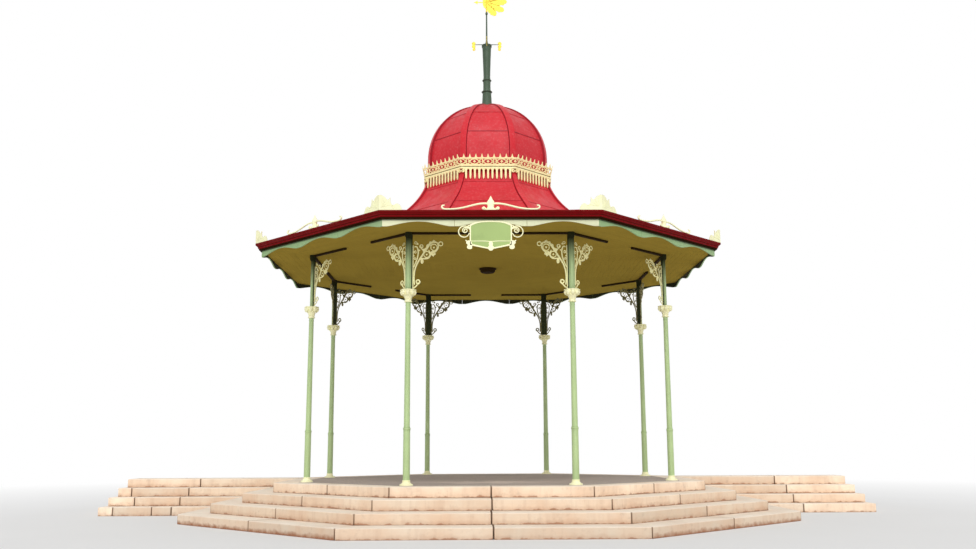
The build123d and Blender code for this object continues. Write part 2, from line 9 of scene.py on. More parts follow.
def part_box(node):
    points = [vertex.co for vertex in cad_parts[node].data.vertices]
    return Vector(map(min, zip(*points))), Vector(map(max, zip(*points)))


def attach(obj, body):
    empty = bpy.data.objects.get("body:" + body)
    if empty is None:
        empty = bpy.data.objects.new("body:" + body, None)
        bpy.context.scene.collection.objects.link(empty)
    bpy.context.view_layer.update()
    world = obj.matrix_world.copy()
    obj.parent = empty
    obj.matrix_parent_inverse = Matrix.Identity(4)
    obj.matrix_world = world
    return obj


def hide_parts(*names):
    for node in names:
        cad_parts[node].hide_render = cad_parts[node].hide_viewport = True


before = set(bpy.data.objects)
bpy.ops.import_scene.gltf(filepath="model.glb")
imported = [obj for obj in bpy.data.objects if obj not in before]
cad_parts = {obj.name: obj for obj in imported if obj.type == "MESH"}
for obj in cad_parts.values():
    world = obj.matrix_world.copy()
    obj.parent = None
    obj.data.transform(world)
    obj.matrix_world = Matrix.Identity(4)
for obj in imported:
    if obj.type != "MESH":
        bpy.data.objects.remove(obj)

bl_info = {
    "name": "Bandstand",
    "version": (1, 0, 0),
    "blender": (4, 5, 0),
    "location": "View3D > Sidebar > Bandstand",
    "description": "Dresses the frame of a cast-iron park bandstand with its stones, castings and paint",
    "category": "Object",
}

# Without a seed, noise would start from the clock and give other stones on each run.
noise.seed_set(12)

# Metres. The frame's nodes give the main sizes and places.
SIDES = 8
TURN = tau / SIDES
SLOPE = tan(TURN / 2)
SPREAD = 1 / cos(TURN / 2)


def low(node):
    """The lowest corner of a node's box."""
    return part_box(node)[0]


def high(node):
    """The highest corner of a node's box."""
    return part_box(node)[1]


FLOOR = high("kerb_course").z
STEP_TOP = low("kerb_course").z
RISE = high("step_course_1").z
COURSES = [-low(f"step_course_{index}").y for index in (1, 2, 3)] + [-low("kerb_course").y]
REAR = high("step_course_1").y
COLUMN_PLACES = [(low(f"column_{index + 1}") + high(f"column_{index + 1}")) / 2 for index in range(SIDES)]
COLUMN_CIRCLE = hypot(COLUMN_PLACES[0].x, COLUMN_PLACES[0].y)
CEILING = low("ceiling").z
BOARD_LINE = -low("valance").y
BOARD_FOOT = low("valance").z
BOARD_TOP = high("valance").z
GUTTER_LINE = -low("gutter").y
GUTTER_FOOT = low("gutter").z
GUTTER_TOP = high("gutter").z
ROOF_LINE = -low("lower_roof").y
NECK_LINE = -low("roof_neck").y
NECK_TOP = high("roof_neck").z
DOME_LINE = -low("dome").y
DOME_FOOT = low("dome").z
DOME_TOP = high("dome").z
LEDGE_LINE = -low("dome_ledge").y
VANE_SEAT = low("vane_spindle").z + 0.767


def plain(red, green, blue):
    """A colour given as screen values up to 255, as the linear values that the nodes take."""
    return [((value / 255 + 0.055) / 1.055) ** 2.4 for value in (red, green, blue)]


def colour_choice(name, description, screen):
    """A colour that a user can change."""
    return bpy.props.FloatVectorProperty(
        name=name, description=description, subtype="COLOR", size=3, min=0, max=1, default=plain(*screen)
    )


def length_choice(name, description, size):
    """A length that a user can change."""
    return bpy.props.FloatProperty(
        name=name, description=description, default=size, unit="LENGTH", precision=4
    )


class BandstandPaint(bpy.types.PropertyGroup):
    """Colours of the paint, stone and metal."""

    green: colour_choice("Column green", "Paint of the columns", (178, 201, 145))
    cream: colour_choice("Cream", "Paint of the capitals, feet and ornaments", (255, 251, 205))
    straw: colour_choice("Straw", "Paint of the brackets and the cresting", (255, 247, 184))
    dark: colour_choice("Dark iron", "Paint of the arms under the ceiling", (48, 34, 14))
    soffit: colour_choice("Ceiling", "Paint of the boarded ceiling", (160, 138, 60))
    mint: colour_choice("Front valance", "Paint of the shaped board at the front", (226, 228, 190))
    # Painted shade: the other valances have the front's paint; this darker green stands for it in shade.
    side_valance_shade: colour_choice("Side valances", "Paint of the other shaped boards", (150, 182, 132))
    crimson: colour_choice("Gutter crimson", "Paint of the moulded gutter", (122, 3, 12))
    red: colour_choice("Roof red", "Paint of the roof's sheet metal", (202, 34, 46))
    # Painted shade: this dark red stands for the shade on the seams' folds, the rolls' sides and the dome's
    # crown cap.
    seam: colour_choice("Seam red", "Dark red of the seams and the sides of the rolls", (150, 8, 30))
    plaque: colour_choice("Plaque green", "Paint of the plaque's board", (168, 190, 122))
    verdigris: colour_choice("Finial green", "Dark green of the finial post and rod", (66, 86, 66))
    gilt: colour_choice("Gilt", "Gilding of the weather vane", (240, 206, 60))
    stone: colour_choice("Stone", "Fresh face of the sandstone", (246, 226, 202))
    stain: colour_choice("Stone stain", "Red-brown stain at the foot of the risers", (158, 104, 72))
    rubble: colour_choice("Rubble", "Rough fill inside the platform", (132, 120, 106))
    asphalt: colour_choice("Asphalt", "Paving of the platform", (176, 163, 154))
    ground: colour_choice("Floor", "The plain floor under the object", (232, 232, 232))


class BandstandSizes(bpy.types.PropertyGroup):
    """Sizes that the frame's boxes don't give."""

    block_edge: length_choice("Worn edge", "Rounding of the stones' edges", 0.014)
    block_joint: length_choice("Stone joint", "Open joint between two stones", 0.009)
    base_height: length_choice("Base height", "Height of a column's flared foot", 0.088)
    collar_height: length_choice("Collar height", "Height of the collar on the shaft", 0.940)
    capital_foot: length_choice("Capital foot", "Height of the capital's lower bead", 3.053)
    capital_top: length_choice("Capital top", "Height of the capital's top", 3.272)
    roof_board: length_choice("Roof thickness", "Thickness of the low roof at its edge", 0.040)
    seam_size: length_choice("Seam size", "Width of a folded seam in the sheet metal", 0.016)
    roll_width: length_choice("Roll width", "Width of the flat rolls over the roof's corners", 0.100)
    roll_proud: length_choice("Roll height", "How far a roll stands proud of the sheets", 0.025)
    ceiling_board: length_choice("Ceiling board", "Width of one board of the ceiling", 0.110)
    drop_width: length_choice("Valance drop", "Flat width of the valance between two arches", 0.160)
    arch_rise: length_choice("Valance arch", "Rise of the valance's arches", 0.082)
    roof_pitch: bpy.props.FloatProperty(
        name="Roof pitch", description="Slope of the low roof", subtype="ANGLE", default=radians(13.5)
    )


# Materials
class Finish:
    """A painted, stone or metal finish, built node by node on the object's own coordinates."""

    def __init__(self, name, roughness=0.5, metallic=0.0, specular=0.5):
        self.material = bpy.data.materials.new(name)
        self.material.use_nodes = True
        self.tree = self.material.node_tree
        self.shader = self.tree.nodes["Principled BSDF"]
        self.shader.inputs["Roughness"].default_value = roughness
        self.shader.inputs["Metallic"].default_value = metallic
        self.shader.inputs["Specular IOR Level"].default_value = specular
        self.place = self.node("ShaderNodeTexCoord").outputs["Object"]

    def node(self, kind, inputs=None, **settings):
        """Add a node, set it, and give its inputs values or links."""
        made = self.tree.nodes.new(kind)
        for key, value in settings.items():
            setattr(made, key, value)
        for key, value in (inputs or {}).items():
            if isinstance(value, bpy.types.NodeSocket):
                self.tree.links.new(value, made.inputs[key])
            else:
                made.inputs[key].default_value = value
        return made

    def noise(self, scale, detail=4.0, stretch=(1, 1, 1), shift=0.0, roughness=0.55):
        """Soft noise; stretch above one makes it finer along that axis."""
        moved = {"Vector": self.place, "Location": (shift,) * 3, "Scale": stretch}
        spot = self.node("ShaderNodeMapping", moved).outputs[0]
        inputs = {"Vector": spot, "Scale": scale, "Detail": detail, "Roughness": roughness}
        return self.node("ShaderNodeTexNoise", inputs).outputs["Fac"]

    def cells(self, scale):
        """A random value for each cell of a scatter."""
        scatter = self.node("ShaderNodeTexVoronoi", {"Vector": self.place, "Scale": scale})
        return self.node("ShaderNodeSeparateColor", {0: scatter.outputs["Color"]}).outputs[0]

    def attribute(self, name):
        """A value that the mesh carries."""
        return self.node("ShaderNodeAttribute", attribute_name=name).outputs["Fac"]

    def ramp(self, value, start, end, low_value=0.0, high_value=1.0):
        """A value stretched between two limits and held there."""
        inputs = {
            "Value": value, "From Min": start, "From Max": end, "To Min": low_value, "To Max": high_value,
        }
        return self.node("ShaderNodeMapRange", inputs, clamp=True).outputs["Result"]

    def math(self, operation, first, second=0.0):
        """Arithmetic on two values."""
        return self.node("ShaderNodeMath", {0: first, 1: second}, operation=operation).outputs[0]

    def mix(self, factor, first, second):
        """Two colours mixed."""
        colours = {6: self.full(first), 7: self.full(second)}
        return self.node("ShaderNodeMix", {0: factor, **colours}, data_type="RGBA").outputs[2]

    def over(self, share, strength, tone, colour):
        """A tone with a colour laid over it, where a share is high."""
        return self.mix(self.math("MULTIPLY", share, strength), tone, colour)

    def full(self, colour):
        """A colour with its fourth value."""
        return colour if isinstance(colour, bpy.types.NodeSocket) else (*colour, 1.0)

    def shade(self, colour, share):
        """A colour made darker or lighter."""
        return [min(1.0, value * share) for value in colour]

    def done(self, colour, roughness=None, bump=None, depth=0.002, strength=0.6):
        """Link the colour, the roughness and the bump to the shader."""
        self.tree.links.new(colour, self.shader.inputs["Base Color"])
        if roughness is not None:
            self.tree.links.new(roughness, self.shader.inputs["Roughness"])
        if bump is not None:
            relief = self.node("ShaderNodeBump", {"Height": bump, "Distance": depth, "Strength": strength})
            self.tree.links.new(relief.outputs[0], self.shader.inputs["Normal"])
        return self.material


def painted_iron(name, colour, grime=0.35, gloss=0.38, shine=0.4):
    """Gloss paint on cast iron, with brush marks, dull patches and rain streaks, and painted shade where the
    mesh asks for it.
    """
    finish = Finish(name, roughness=gloss, specular=shine)
    blotches = finish.ramp(finish.noise(3.0, 5), 0.35, 0.7)
    streaks = finish.ramp(finish.noise(16.0, 5, stretch=(1, 1, 0.06), shift=3.0), 0.48, 0.78)
    pits = finish.ramp(finish.noise(120.0, 3, shift=7.0), 0.62, 0.74)
    tone = finish.mix(blotches, finish.shade(colour, 0.93), finish.shade(colour, 1.05))
    tone = finish.over(streaks, grime, tone, finish.shade(colour, 0.55))
    tone = finish.over(pits, grime, tone, (0.12, 0.07, 0.035))
    # Painted shade: where the mesh's value is high the paint turns near black and loses its specular,
    # standing for deep shade.
    painted_shade = finish.attribute("painted_shade")
    tone = finish.mix(painted_shade, tone, (0.010, 0.008, 0.002))
    finish.tree.links.new(finish.ramp(painted_shade, 0.0, 1.0, shine, 0.0), finish.shader.inputs["Specular IOR Level"])
    rough = finish.ramp(finish.noise(9.0, 4, shift=5.0), 0.3, 0.7, gloss - 0.08, gloss + 0.2)
    skin = finish.math("ADD", finish.noise(60.0, 3), finish.math("MULTIPLY", pits, -0.4))
    return finish.done(tone, rough, skin, depth=0.0015, strength=0.5)


def sheet_metal(name, colour, seam):
    """Painted sheet metal, faded in soft patches, with faint runs down the slope."""
    finish = Finish(name, roughness=0.42, specular=0.28)
    fade = finish.ramp(finish.noise(0.9, 4), 0.3, 0.72)
    runs = finish.ramp(finish.noise(7.0, 5, stretch=(1, 1, 0.12), shift=2.0), 0.5, 0.8)
    chalk = finish.ramp(finish.noise(22.0, 4, shift=4.0), 0.5, 0.75)
    tone = finish.mix(fade, finish.shade(colour, 0.9), finish.shade(colour, 1.08))
    tone = finish.over(runs, 0.28, tone, finish.shade(colour, 0.62))
    tone = finish.over(chalk, 0.14, tone, (0.75, 0.36, 0.36))
    # Painted shade: where the mesh's dark value is high the sheet takes the dark seam red.
    tone = finish.mix(finish.attribute("dark"), tone, seam)
    rough = finish.ramp(finish.noise(5.0, 4, shift=6.0), 0.3, 0.7, 0.34, 0.58)
    dents = finish.noise(2.6, 3, shift=8.0)
    return finish.done(tone, rough, dents, depth=0.03, strength=0.35)


def painted_boards(name, colour, grime, second=None, shine=0.12):
    """Painted timber with a faint grain and weathering along the boards; some boards take a second, darker
    colour as painted shade, and the mesh can ask for near-black painted shade.
    """
    finish = Finish(name, roughness=0.6, specular=shine)
    fade = finish.ramp(finish.noise(1.3, 4), 0.3, 0.7)
    grain = finish.noise(46.0, 5, stretch=(0.18, 0.18, 1.0))
    marks = finish.ramp(finish.noise(5.0, 6, shift=3.0), 0.52, 0.8)
    tone = finish.mix(fade, finish.shade(colour, 0.94), finish.shade(colour, 1.05))
    # Painted shade: the second colour stands for the same paint in shade.
    if second:
        tone = finish.mix(finish.attribute("second"), tone, second)
    tone = finish.over(finish.attribute("tone"), 0.12, tone, finish.shade(colour, 0.7))
    tone = finish.over(marks, grime, tone, finish.shade(colour, 0.6))
    # Painted shade: near black where the mesh's value is high.
    tone = finish.mix(finish.attribute("painted_shade"), tone, (0.016, 0.014, 0.007))
    rough = finish.ramp(grain, 0.3, 0.7, 0.48, 0.68)
    return finish.done(tone, rough, grain, depth=0.0012, strength=0.5)


def dressed_stone(name, colour, stain):
    """Sandstone with a tone of its own on each block, stained where a riser meets the tread below."""
    finish = Finish(name, roughness=0.85, specular=0.3)
    clouds = finish.ramp(finish.noise(1.7, 5), 0.32, 0.7)
    streaks = finish.ramp(finish.noise(9.0, 5, stretch=(1, 1, 0.12), shift=4.0), 0.5, 0.75)
    spots = finish.ramp(finish.noise(11.0, 5, shift=2.0), 0.58, 0.8)
    grain = finish.noise(150.0, 4, shift=6.0, roughness=0.7)
    tone = finish.mix(finish.attribute("tone"), finish.shade(colour, 0.74), finish.shade(colour, 1.08))
    tone = finish.over(clouds, 0.6, tone, (0.70, 0.45, 0.29))
    tone = finish.over(streaks, 0.28, tone, (0.50, 0.31, 0.20))
    tone = finish.over(spots, 0.3, tone, (0.36, 0.25, 0.18))
    share = finish.attribute("foot")
    # Paler over the top of each block, in clouds.
    paler_top = finish.math("MULTIPLY", finish.ramp(share, 0.90, 1.0), finish.ramp(clouds, 0.0, 1.0, 0.9, 0.55))
    tone = finish.mix(paler_top, tone, (0.94, 0.84, 0.72))
    ragged = finish.math("ADD", share, finish.ramp(finish.noise(9.0, 6, shift=9.0), 0.3, 0.7, -0.16, 0.16))
    high_mark = finish.ramp(ragged, 0.45, 0.05)
    low_mark = finish.ramp(ragged, 0.16, 0.02, 0.0, 0.75)
    blot = finish.math("MAXIMUM", finish.math("MULTIPLY", high_mark, finish.attribute("stain")), low_mark)
    tone = finish.mix(blot, tone, stain)
    tone = finish.over(finish.attribute("joint"), 0.7, tone, (0.22, 0.12, 0.07))
    tone = finish.over(finish.ramp(grain, 0.5, 0.8), 0.18, tone, finish.shade(colour, 0.5))
    relief = finish.math("ADD", finish.math("MULTIPLY", grain, 0.35), finish.noise(14.0, 6, shift=1.0))
    return finish.done(tone, None, relief, depth=0.006, strength=0.55)


def rolled_asphalt(name, colour):
    """Asphalt with fine stones in it, dull patches and a paler worn stretch near the front."""
    finish = Finish(name, roughness=0.9, specular=0.25)
    patches = finish.ramp(finish.noise(0.8, 5), 0.3, 0.72)
    chip_tone = finish.cells(130.0)
    tone = finish.mix(patches, finish.shade(colour, 0.82), finish.shade(colour, 1.1))
    tone = finish.mix(finish.ramp(chip_tone, 0.7, 1.0, 0.0, 0.5), tone, finish.shade(colour, 1.7))
    tone = finish.mix(finish.ramp(chip_tone, 0.0, 0.25, 0.45, 0.0), tone, finish.shade(colour, 0.45))
    worn_place = finish.node(
        "ShaderNodeMapping", {"Vector": finish.place, "Location": (0.0, 2.9, 0.0), "Scale": (0.75, 1.5, 1.0)}
    )
    away = finish.node(
        "ShaderNodeVectorMath", {0: worn_place.outputs[0], 1: (0, 0, FLOOR)}, operation="DISTANCE"
    )
    wavy = finish.ramp(finish.noise(3.0, 5, shift=3.0), 0.3, 0.7, -0.5, 0.5)
    ragged = finish.math("ADD", away.outputs["Value"], wavy)
    tone = finish.mix(finish.ramp(ragged, 1.1, 0.3, 0.0, 0.55), tone, finish.shade(colour, 1.75))
    relief = finish.math("ADD", chip_tone, finish.noise(30.0, 4))
    return finish.done(tone, None, relief, depth=0.003, strength=0.5)


def rough_fill(name, colour):
    """Rubble set in rough concrete."""
    finish = Finish(name, roughness=0.95, specular=0.2)
    lumps = finish.cells(7.0)
    tone = finish.mix(lumps, finish.shade(colour, 0.6), finish.shade(colour, 1.25))
    tone = finish.mix(finish.ramp(finish.noise(20.0, 5), 0.45, 0.7), tone, finish.shade(colour, 0.8))
    return finish.done(tone, None, finish.math("ADD", lumps, finish.noise(12.0, 5)), depth=0.02, strength=0.8)


def gilding(name, colour):
    """Gold leaf on iron, bright and slightly uneven."""
    finish = Finish(name, roughness=0.3, metallic=0.35)
    patches = finish.ramp(finish.noise(14.0, 4), 0.35, 0.7)
    tone = finish.mix(patches, finish.shade(colour, 0.85), finish.shade(colour, 1.1))
    rough = finish.ramp(finish.noise(30.0, 4, shift=2.0), 0.3, 0.7, 0.22, 0.42)
    return finish.done(tone, rough, finish.noise(70.0, 3), depth=0.0015, strength=0.4)


def mix_paints(context):
    """Make every finish of the object."""
    paint = context.scene.bandstand_paint
    return dict(
        stone=dressed_stone("dressed_stone", paint.stone, paint.stain),
        rubble=rough_fill("rubble_fill", paint.rubble),
        asphalt=rolled_asphalt("rolled_asphalt", paint.asphalt),
        green=painted_iron("green_paint", paint.green),
        cream=painted_iron("cream_paint", paint.cream, grime=0.16),
        straw=painted_iron("straw_paint", paint.straw, grime=0.2),
        dark=painted_iron("dark_paint", paint.dark, grime=0.2, gloss=0.7, shine=0.03),
        soffit=painted_boards("ceiling_paint", paint.soffit, grime=0.12, shine=0.0),
        mint=painted_boards("valance_paint", paint.mint, grime=0.3, second=paint.side_valance_shade),
        crimson=painted_iron("crimson_paint", paint.crimson, grime=0.3, gloss=0.5, shine=0.06),
        red=sheet_metal("red_sheet_metal", paint.red, paint.seam),
        plaque=painted_boards("plaque_paint", paint.plaque, grime=0.4),
        verdigris=painted_iron("finial_paint", paint.verdigris, grime=0.5, gloss=0.45),
        gilt=gilding("gilding", paint.gilt),
    )


PAINTS = {}


def finish_of(name):
    """A finish by its name; all of them are made when the first is needed."""
    if not PAINTS:
        PAINTS.update(mix_paints(bpy.context))
    return PAINTS[name]


# Mesh helpers
def value_layer(bm, name):
    """A value carried by the points of a mesh."""
    return bm.verts.layers.float.get(name) or bm.verts.layers.float.new(name)


def mark(bm, name, value):
    """Give every point of a mesh the same value."""
    layer = value_layer(bm, name)
    for vert in bm.verts:
        vert[layer] = value


def everything(bm):
    """All that a mesh holds, as an operator takes it."""
    return bm.verts[:] + bm.edges[:] + bm.faces[:]


def cut_across(bm, spot, normal, clear=False):
    """Cut a mesh along a plane through a spot, and clear what lies beyond the plane if asked."""
    bmesh.ops.bisect_plane(bm, geom=everything(bm), plane_co=spot, plane_no=normal, clear_outer=clear)


def set_apart(bm, faces):
    """Give faces points of their own, so that a value can end at their edges."""
    bmesh.ops.split_edges(bm, edges=list(dict.fromkeys(edge for face in faces for edge in face.edges)))
    return {vert for face in faces for vert in face.verts}


def prism(bm, corners, vec=(0, 0, 0)):
    """Extrude a face with these corners along a vector, and give the points of its far end."""
    face = bm.faces.new([bm.verts.new(corner) for corner in corners])
    grown = bmesh.ops.extrude_face_region(bm, geom=[face])
    far = [item for item in grown["geom"] if isinstance(item, bmesh.types.BMVert)]
    bmesh.ops.translate(bm, vec=vec, verts=far)
    return far


def finish_piece(name, bm, finish, node, body="root", sharp=35):
    """Turn a bmesh into a piece that rides on a body and stands for a node of the frame."""
    bmesh.ops.recalc_face_normals(bm, faces=bm.faces)
    mesh = bpy.data.meshes.new(name)
    bm.to_mesh(mesh)
    bm.free()
    mesh.materials.append(finish_of(finish))
    mesh.shade_smooth()
    mesh.set_sharp_from_angle(angle=radians(sharp))
    thing = bpy.data.objects.new(name, mesh)
    bpy.context.scene.collection.objects.link(thing)
    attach(thing, body)
    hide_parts(node)


def add_mesh(bm, mesh, matrix=None):
    """Add a mesh to a bmesh, turned and moved by a matrix, and discard it."""
    if matrix is not None:
        mesh.transform(matrix)
    bm.from_mesh(mesh)
    bpy.data.meshes.remove(mesh)


def add_part(bm, part, matrix=None):
    """Add a bmesh to another, turned and moved by a matrix, and free it."""
    mesh = bpy.data.meshes.new("part")
    part.to_mesh(mesh)
    part.free()
    add_mesh(bm, mesh, matrix)


def section_run(bm, section, gap=0.001):
    """Sweep a section of distances from the axis and heights along the front side, mitred at its corners."""
    for vert in prism(bm, [(gap - distance * SLOPE, -distance, height) for distance, height in section]):
        vert.co.x = -vert.co.x


def all_sides(bm):
    """Repeat what a bmesh holds on every side of the octagon."""
    bmesh.ops.spin(
        bm, geom=everything(bm), cent=(0, 0, 0), axis=(0, 0, 1), angle=TURN * (SIDES - 1), steps=SIDES - 1,
        use_duplicate=True,
    )


def turn_profile(bm, profile, segments):
    """Turn a profile of radii and heights about the Z axis."""
    verts = [bm.verts.new((radius, 0, height)) for radius, height in profile]
    edges = [bm.edges.new(pair) for pair in zip(verts, verts[1:])]
    bmesh.ops.spin(
        bm, geom=verts + edges, cent=(0, 0, 0), axis=(0, 0, 1), angle=tau, steps=segments, use_merge=True
    )
    bmesh.ops.remove_doubles(bm, verts=bm.verts, dist=0.00005)


def box(bm, centre, size, edge=0.0, segments=2):
    """A block with rounded edges."""
    made = bmesh.ops.create_cube(bm, size=1, matrix=Matrix.Translation(centre) @ Matrix.Diagonal((*size, 1)))
    if edge:
        edges = list(dict.fromkeys(line for vert in made["verts"] for line in vert.link_edges))
        bmesh.ops.bevel(
            bm, geom=edges, offset=edge, segments=segments, profile=0.5, affect="EDGES", material=-1,
            clamp_overlap=True,
        )


def ball(bm, centre, radius, squash=(1, 1, 1), detail=2):
    """A ball or a bead."""
    matrix = Matrix.Translation(centre) @ Matrix.Diagonal((*squash, 1))
    bmesh.ops.create_icosphere(bm, subdivisions=detail, radius=radius, matrix=matrix)


def strokes(paths, smooth=4):
    """A mesh of round bars along smooth strokes of x, y and radius, in the XY plane."""
    curve = bpy.data.curves.new("strokes", "CURVE")
    curve.dimensions = "3D"
    curve.bevel_depth = 1.0
    curve.bevel_resolution = 1
    curve.use_fill_caps = True
    for path in paths:
        spline = curve.splines.new("NURBS")
        spline.points.add(len(path) - 1)
        for point, (x, y, radius) in zip(spline.points, path):
            point.co = (x, y, 0, 1)
            point.radius = radius
        spline.order_u = 3
        spline.use_endpoint_u = True
        spline.resolution_u = smooth
    return mesh_of(curve)


def cut_shape(outlines, thickness, edge=0.003, smooth=5):
    """A flat casting with rounded edges, from smooth outlines; a third value keeps a point sharp."""
    curve = bpy.data.curves.new("outline", "CURVE")
    curve.dimensions = "2D"
    curve.fill_mode = "BOTH"
    curve.extrude = thickness / 2 - edge
    curve.bevel_depth = edge
    curve.offset = -edge
    curve.bevel_resolution = 1
    curve.resolution_u = smooth
    for outline in outlines:
        spline = curve.splines.new("BEZIER")
        spline.bezier_points.add(len(outline) - 1)
        spline.use_cyclic_u = True
        for point, (x, y, *sharp) in zip(spline.bezier_points, outline):
            point.co = (x, y, 0)
            point.handle_left_type = "VECTOR" if sharp else "AUTO"
            point.handle_right_type = "VECTOR" if sharp else "AUTO"
    return mesh_of(curve)


def mesh_of(curve):
    """The mesh of a curve that isn't needed any more."""
    holder = bpy.data.objects.new("curve_holder", curve)
    bpy.context.scene.collection.objects.link(holder)
    bpy.context.view_layer.update()
    mesh = bpy.data.meshes.new_from_object(holder)
    bpy.data.objects.remove(holder)
    bpy.data.curves.remove(curve)
    return mesh


def handed(path, hand):
    """A stroke or an outline as drawn, or on the other side of the middle where hand is -1."""
    return [(hand * x, *rest) for x, *rest in path]


def shifted(path, across, up=0.0):
    """A stroke or an outline moved within its plane."""
    return [(across + x, up + y, *rest) for x, y, *rest in path]


def both_sides(half):
    """An outline from its half on one side of the middle, which starts or ends on the middle."""
    return half + [(-x, y, *sharp) for x, y, *sharp in reversed(half) if x]


def spiral(centre, outer, inner, turns, start, bar, hand=1, steps=8):
    """A scroll as a stroke that winds inward; start is in degrees and bar is the bar's radius."""
    count = int(turns * steps)
    path = []
    for index in range(count + 1):
        share = index / count
        angle = radians(start) + hand * turns * tau * share
        reach = outer + (inner - outer) * share
        thin = bar * (1 - 0.25 * share)
        path.append((centre[0] + reach * cos(angle), centre[1] + reach * sin(angle), thin))
    return path


def on_front(distance, height, lean=0.0):
    """The matrix that stands a drawing of the XY plane on the front side, leaning outward."""
    return Matrix.Translation((0, -distance, height)) @ Matrix.Rotation(pi / 2 + lean, 4, "X")


def pick(rng, low_value, high_value):
    """A random value between two limits."""
    return low_value + (high_value - low_value) * rng.random()


# Stone platform
STONE_VALUES = ("tone", "foot", "stain", "joint")


def new_stones():
    """An empty mesh with the values that the stone finish reads."""
    bm = bmesh.new()
    for name in STONE_VALUES:
        value_layer(bm, name)
    return bm


def stone_block(bm, plan, foot, top, rng, sizes, stain=0.2, shade=0.5, joints=(1.0, 1.0)):
    """One dressed stone from the corners of its plan, front edge first, with worn and uneven edges."""
    piece = bmesh.new()
    tone, rise, blot, joint = (value_layer(piece, name) for name in STONE_VALUES)
    prism(piece, [(x, y, foot) for x, y in plan], (0, 0, top - foot))
    bmesh.ops.recalc_face_normals(piece, faces=piece.faces)
    bmesh.ops.bevel(
        piece, geom=piece.edges[:], offset=sizes.block_edge * pick(rng, 0.7, 1.2), segments=2, profile=0.5,
        affect="EDGES", material=-1, clamp_overlap=True,
    )
    start, end = Vector((*plan[0], 0)), Vector((*plan[1], 0))
    along = (end - start).normalized()
    length = (end - start).length
    count = max(2, round(length / 0.2))
    cuts = [length * index / count for index in range(1, count)]
    joint_edge = 0.008
    fade_edge = 0.015
    for cut in [joint_edge, fade_edge, *cuts, length - fade_edge, length - joint_edge]:
        cut_across(piece, start + along * cut, along)
    seed = Vector((pick(rng, 0, 50), pick(rng, 0, 50), pick(rng, 0, 50)))
    block_tone = min(1.0, max(0.0, shade + pick(rng, -0.22, 0.22)))
    for vert in piece.verts:
        reach = (Vector((vert.co.x, vert.co.y, 0)) - start).dot(along)
        if reach < joint_edge + 0.0005:
            vert[joint] = joints[0]
        elif length - reach < joint_edge + 0.0005:
            vert[joint] = joints[1]
        share = (vert.co.z - foot) / (top - foot)
        broad = noise.noise_vector(vert.co * 3.1 + seed) * 0.003
        fine = noise.noise_vector(vert.co * 11 + seed) * 0.002
        vert.co += broad + fine
        vert.co.z = min(max(vert.co.z, foot), top)
        vert[tone] = block_tone
        vert[rise] = share
        vert[blot] = stain
    add_part(bm, piece)


def course_side(bm, distance, depth, foot, top, ends, rng, sizes, stain, shade):
    """The stones of one side of the octagon, joined near its middle and mitred where they turn a corner."""
    gap = sizes.block_joint / 2
    middle = pick(rng, -0.02, 0.02)
    inner = distance - depth
    for start, end in ((ends[0], middle), (middle, ends[1])):
        left = -distance * SLOPE if start is None else start
        right = distance * SLOPE if end is None else end
        left_inner = -inner * SLOPE if start is None else start
        right_inner = inner * SLOPE if end is None else end
        plan = [
            (left + gap, -distance), (right - gap, -distance),
            (right_inner - gap, -inner), (left_inner + gap, -inner),
        ]
        seen = (0.0 if start and start < -0.1 else 1.0, 0.0 if end and end > 0.1 else 1.0)
        stone_block(bm, plan, foot, top, rng, sizes, stain, shade, seen)


def turned_side(bm, index, build, *choices):
    """Build stones as on the front side and turn them to another side, counted anticlockwise."""
    part = new_stones()
    build(part, *choices)
    bmesh.ops.rotate(part, cent=(0, 0, 0), matrix=Matrix.Rotation(TURN * index, 3, "Z"), verts=part.verts)
    add_part(bm, part)


class BANDSTAND_OT_step_courses(bpy.types.Operator):
    """Build the three lower courses of the octagon from separate stones"""

    bl_idname = "bandstand.step_courses"
    bl_label = "Step courses"

    def execute(self, context):
        sizes = context.scene.bandstand_sizes
        for level in range(3):
            rng = random.Random(40 + level)
            distance = COURSES[level]
            depth = distance - COURSES[level + 1] + 0.09
            foot, top = RISE * level, RISE * (level + 1)
            bm = new_stones()
            for side in (-2, -1, 0, 1, 2):
                ends = [-REAR if side == -2 else None, REAR if side == 2 else None]
                stain = {-1: 0.95, 1: 0.9}.get(side, 0.25) if level == 0 else 0.25
                shade = (0.15, 0.2, 0.5)[level]
                turned_side(
                    bm, side, course_side, distance, depth, foot, top, ends, rng, sizes, stain, shade
                )
            self.returns(bm, distance - depth, foot, top, rng, sizes)
            name = f"step_course_{level + 1}"
            finish_piece(f"{name}_stones", bm, "stone", name)
        return {"FINISHED"}

    def returns(self, bm, outer, foot, top, rng, sizes):
        """The stones that close a course's back beside the rear wall."""
        inner = COURSES[3] + 0.002
        if outer - inner < 0.05:
            return
        for hand in (-1, 1):
            left, right = sorted((hand * inner, hand * outer))
            plan = [(left, REAR - 0.3), (right, REAR - 0.3), (right, REAR), (left, REAR)]
            stone_block(bm, plan, foot, top, rng, sizes)


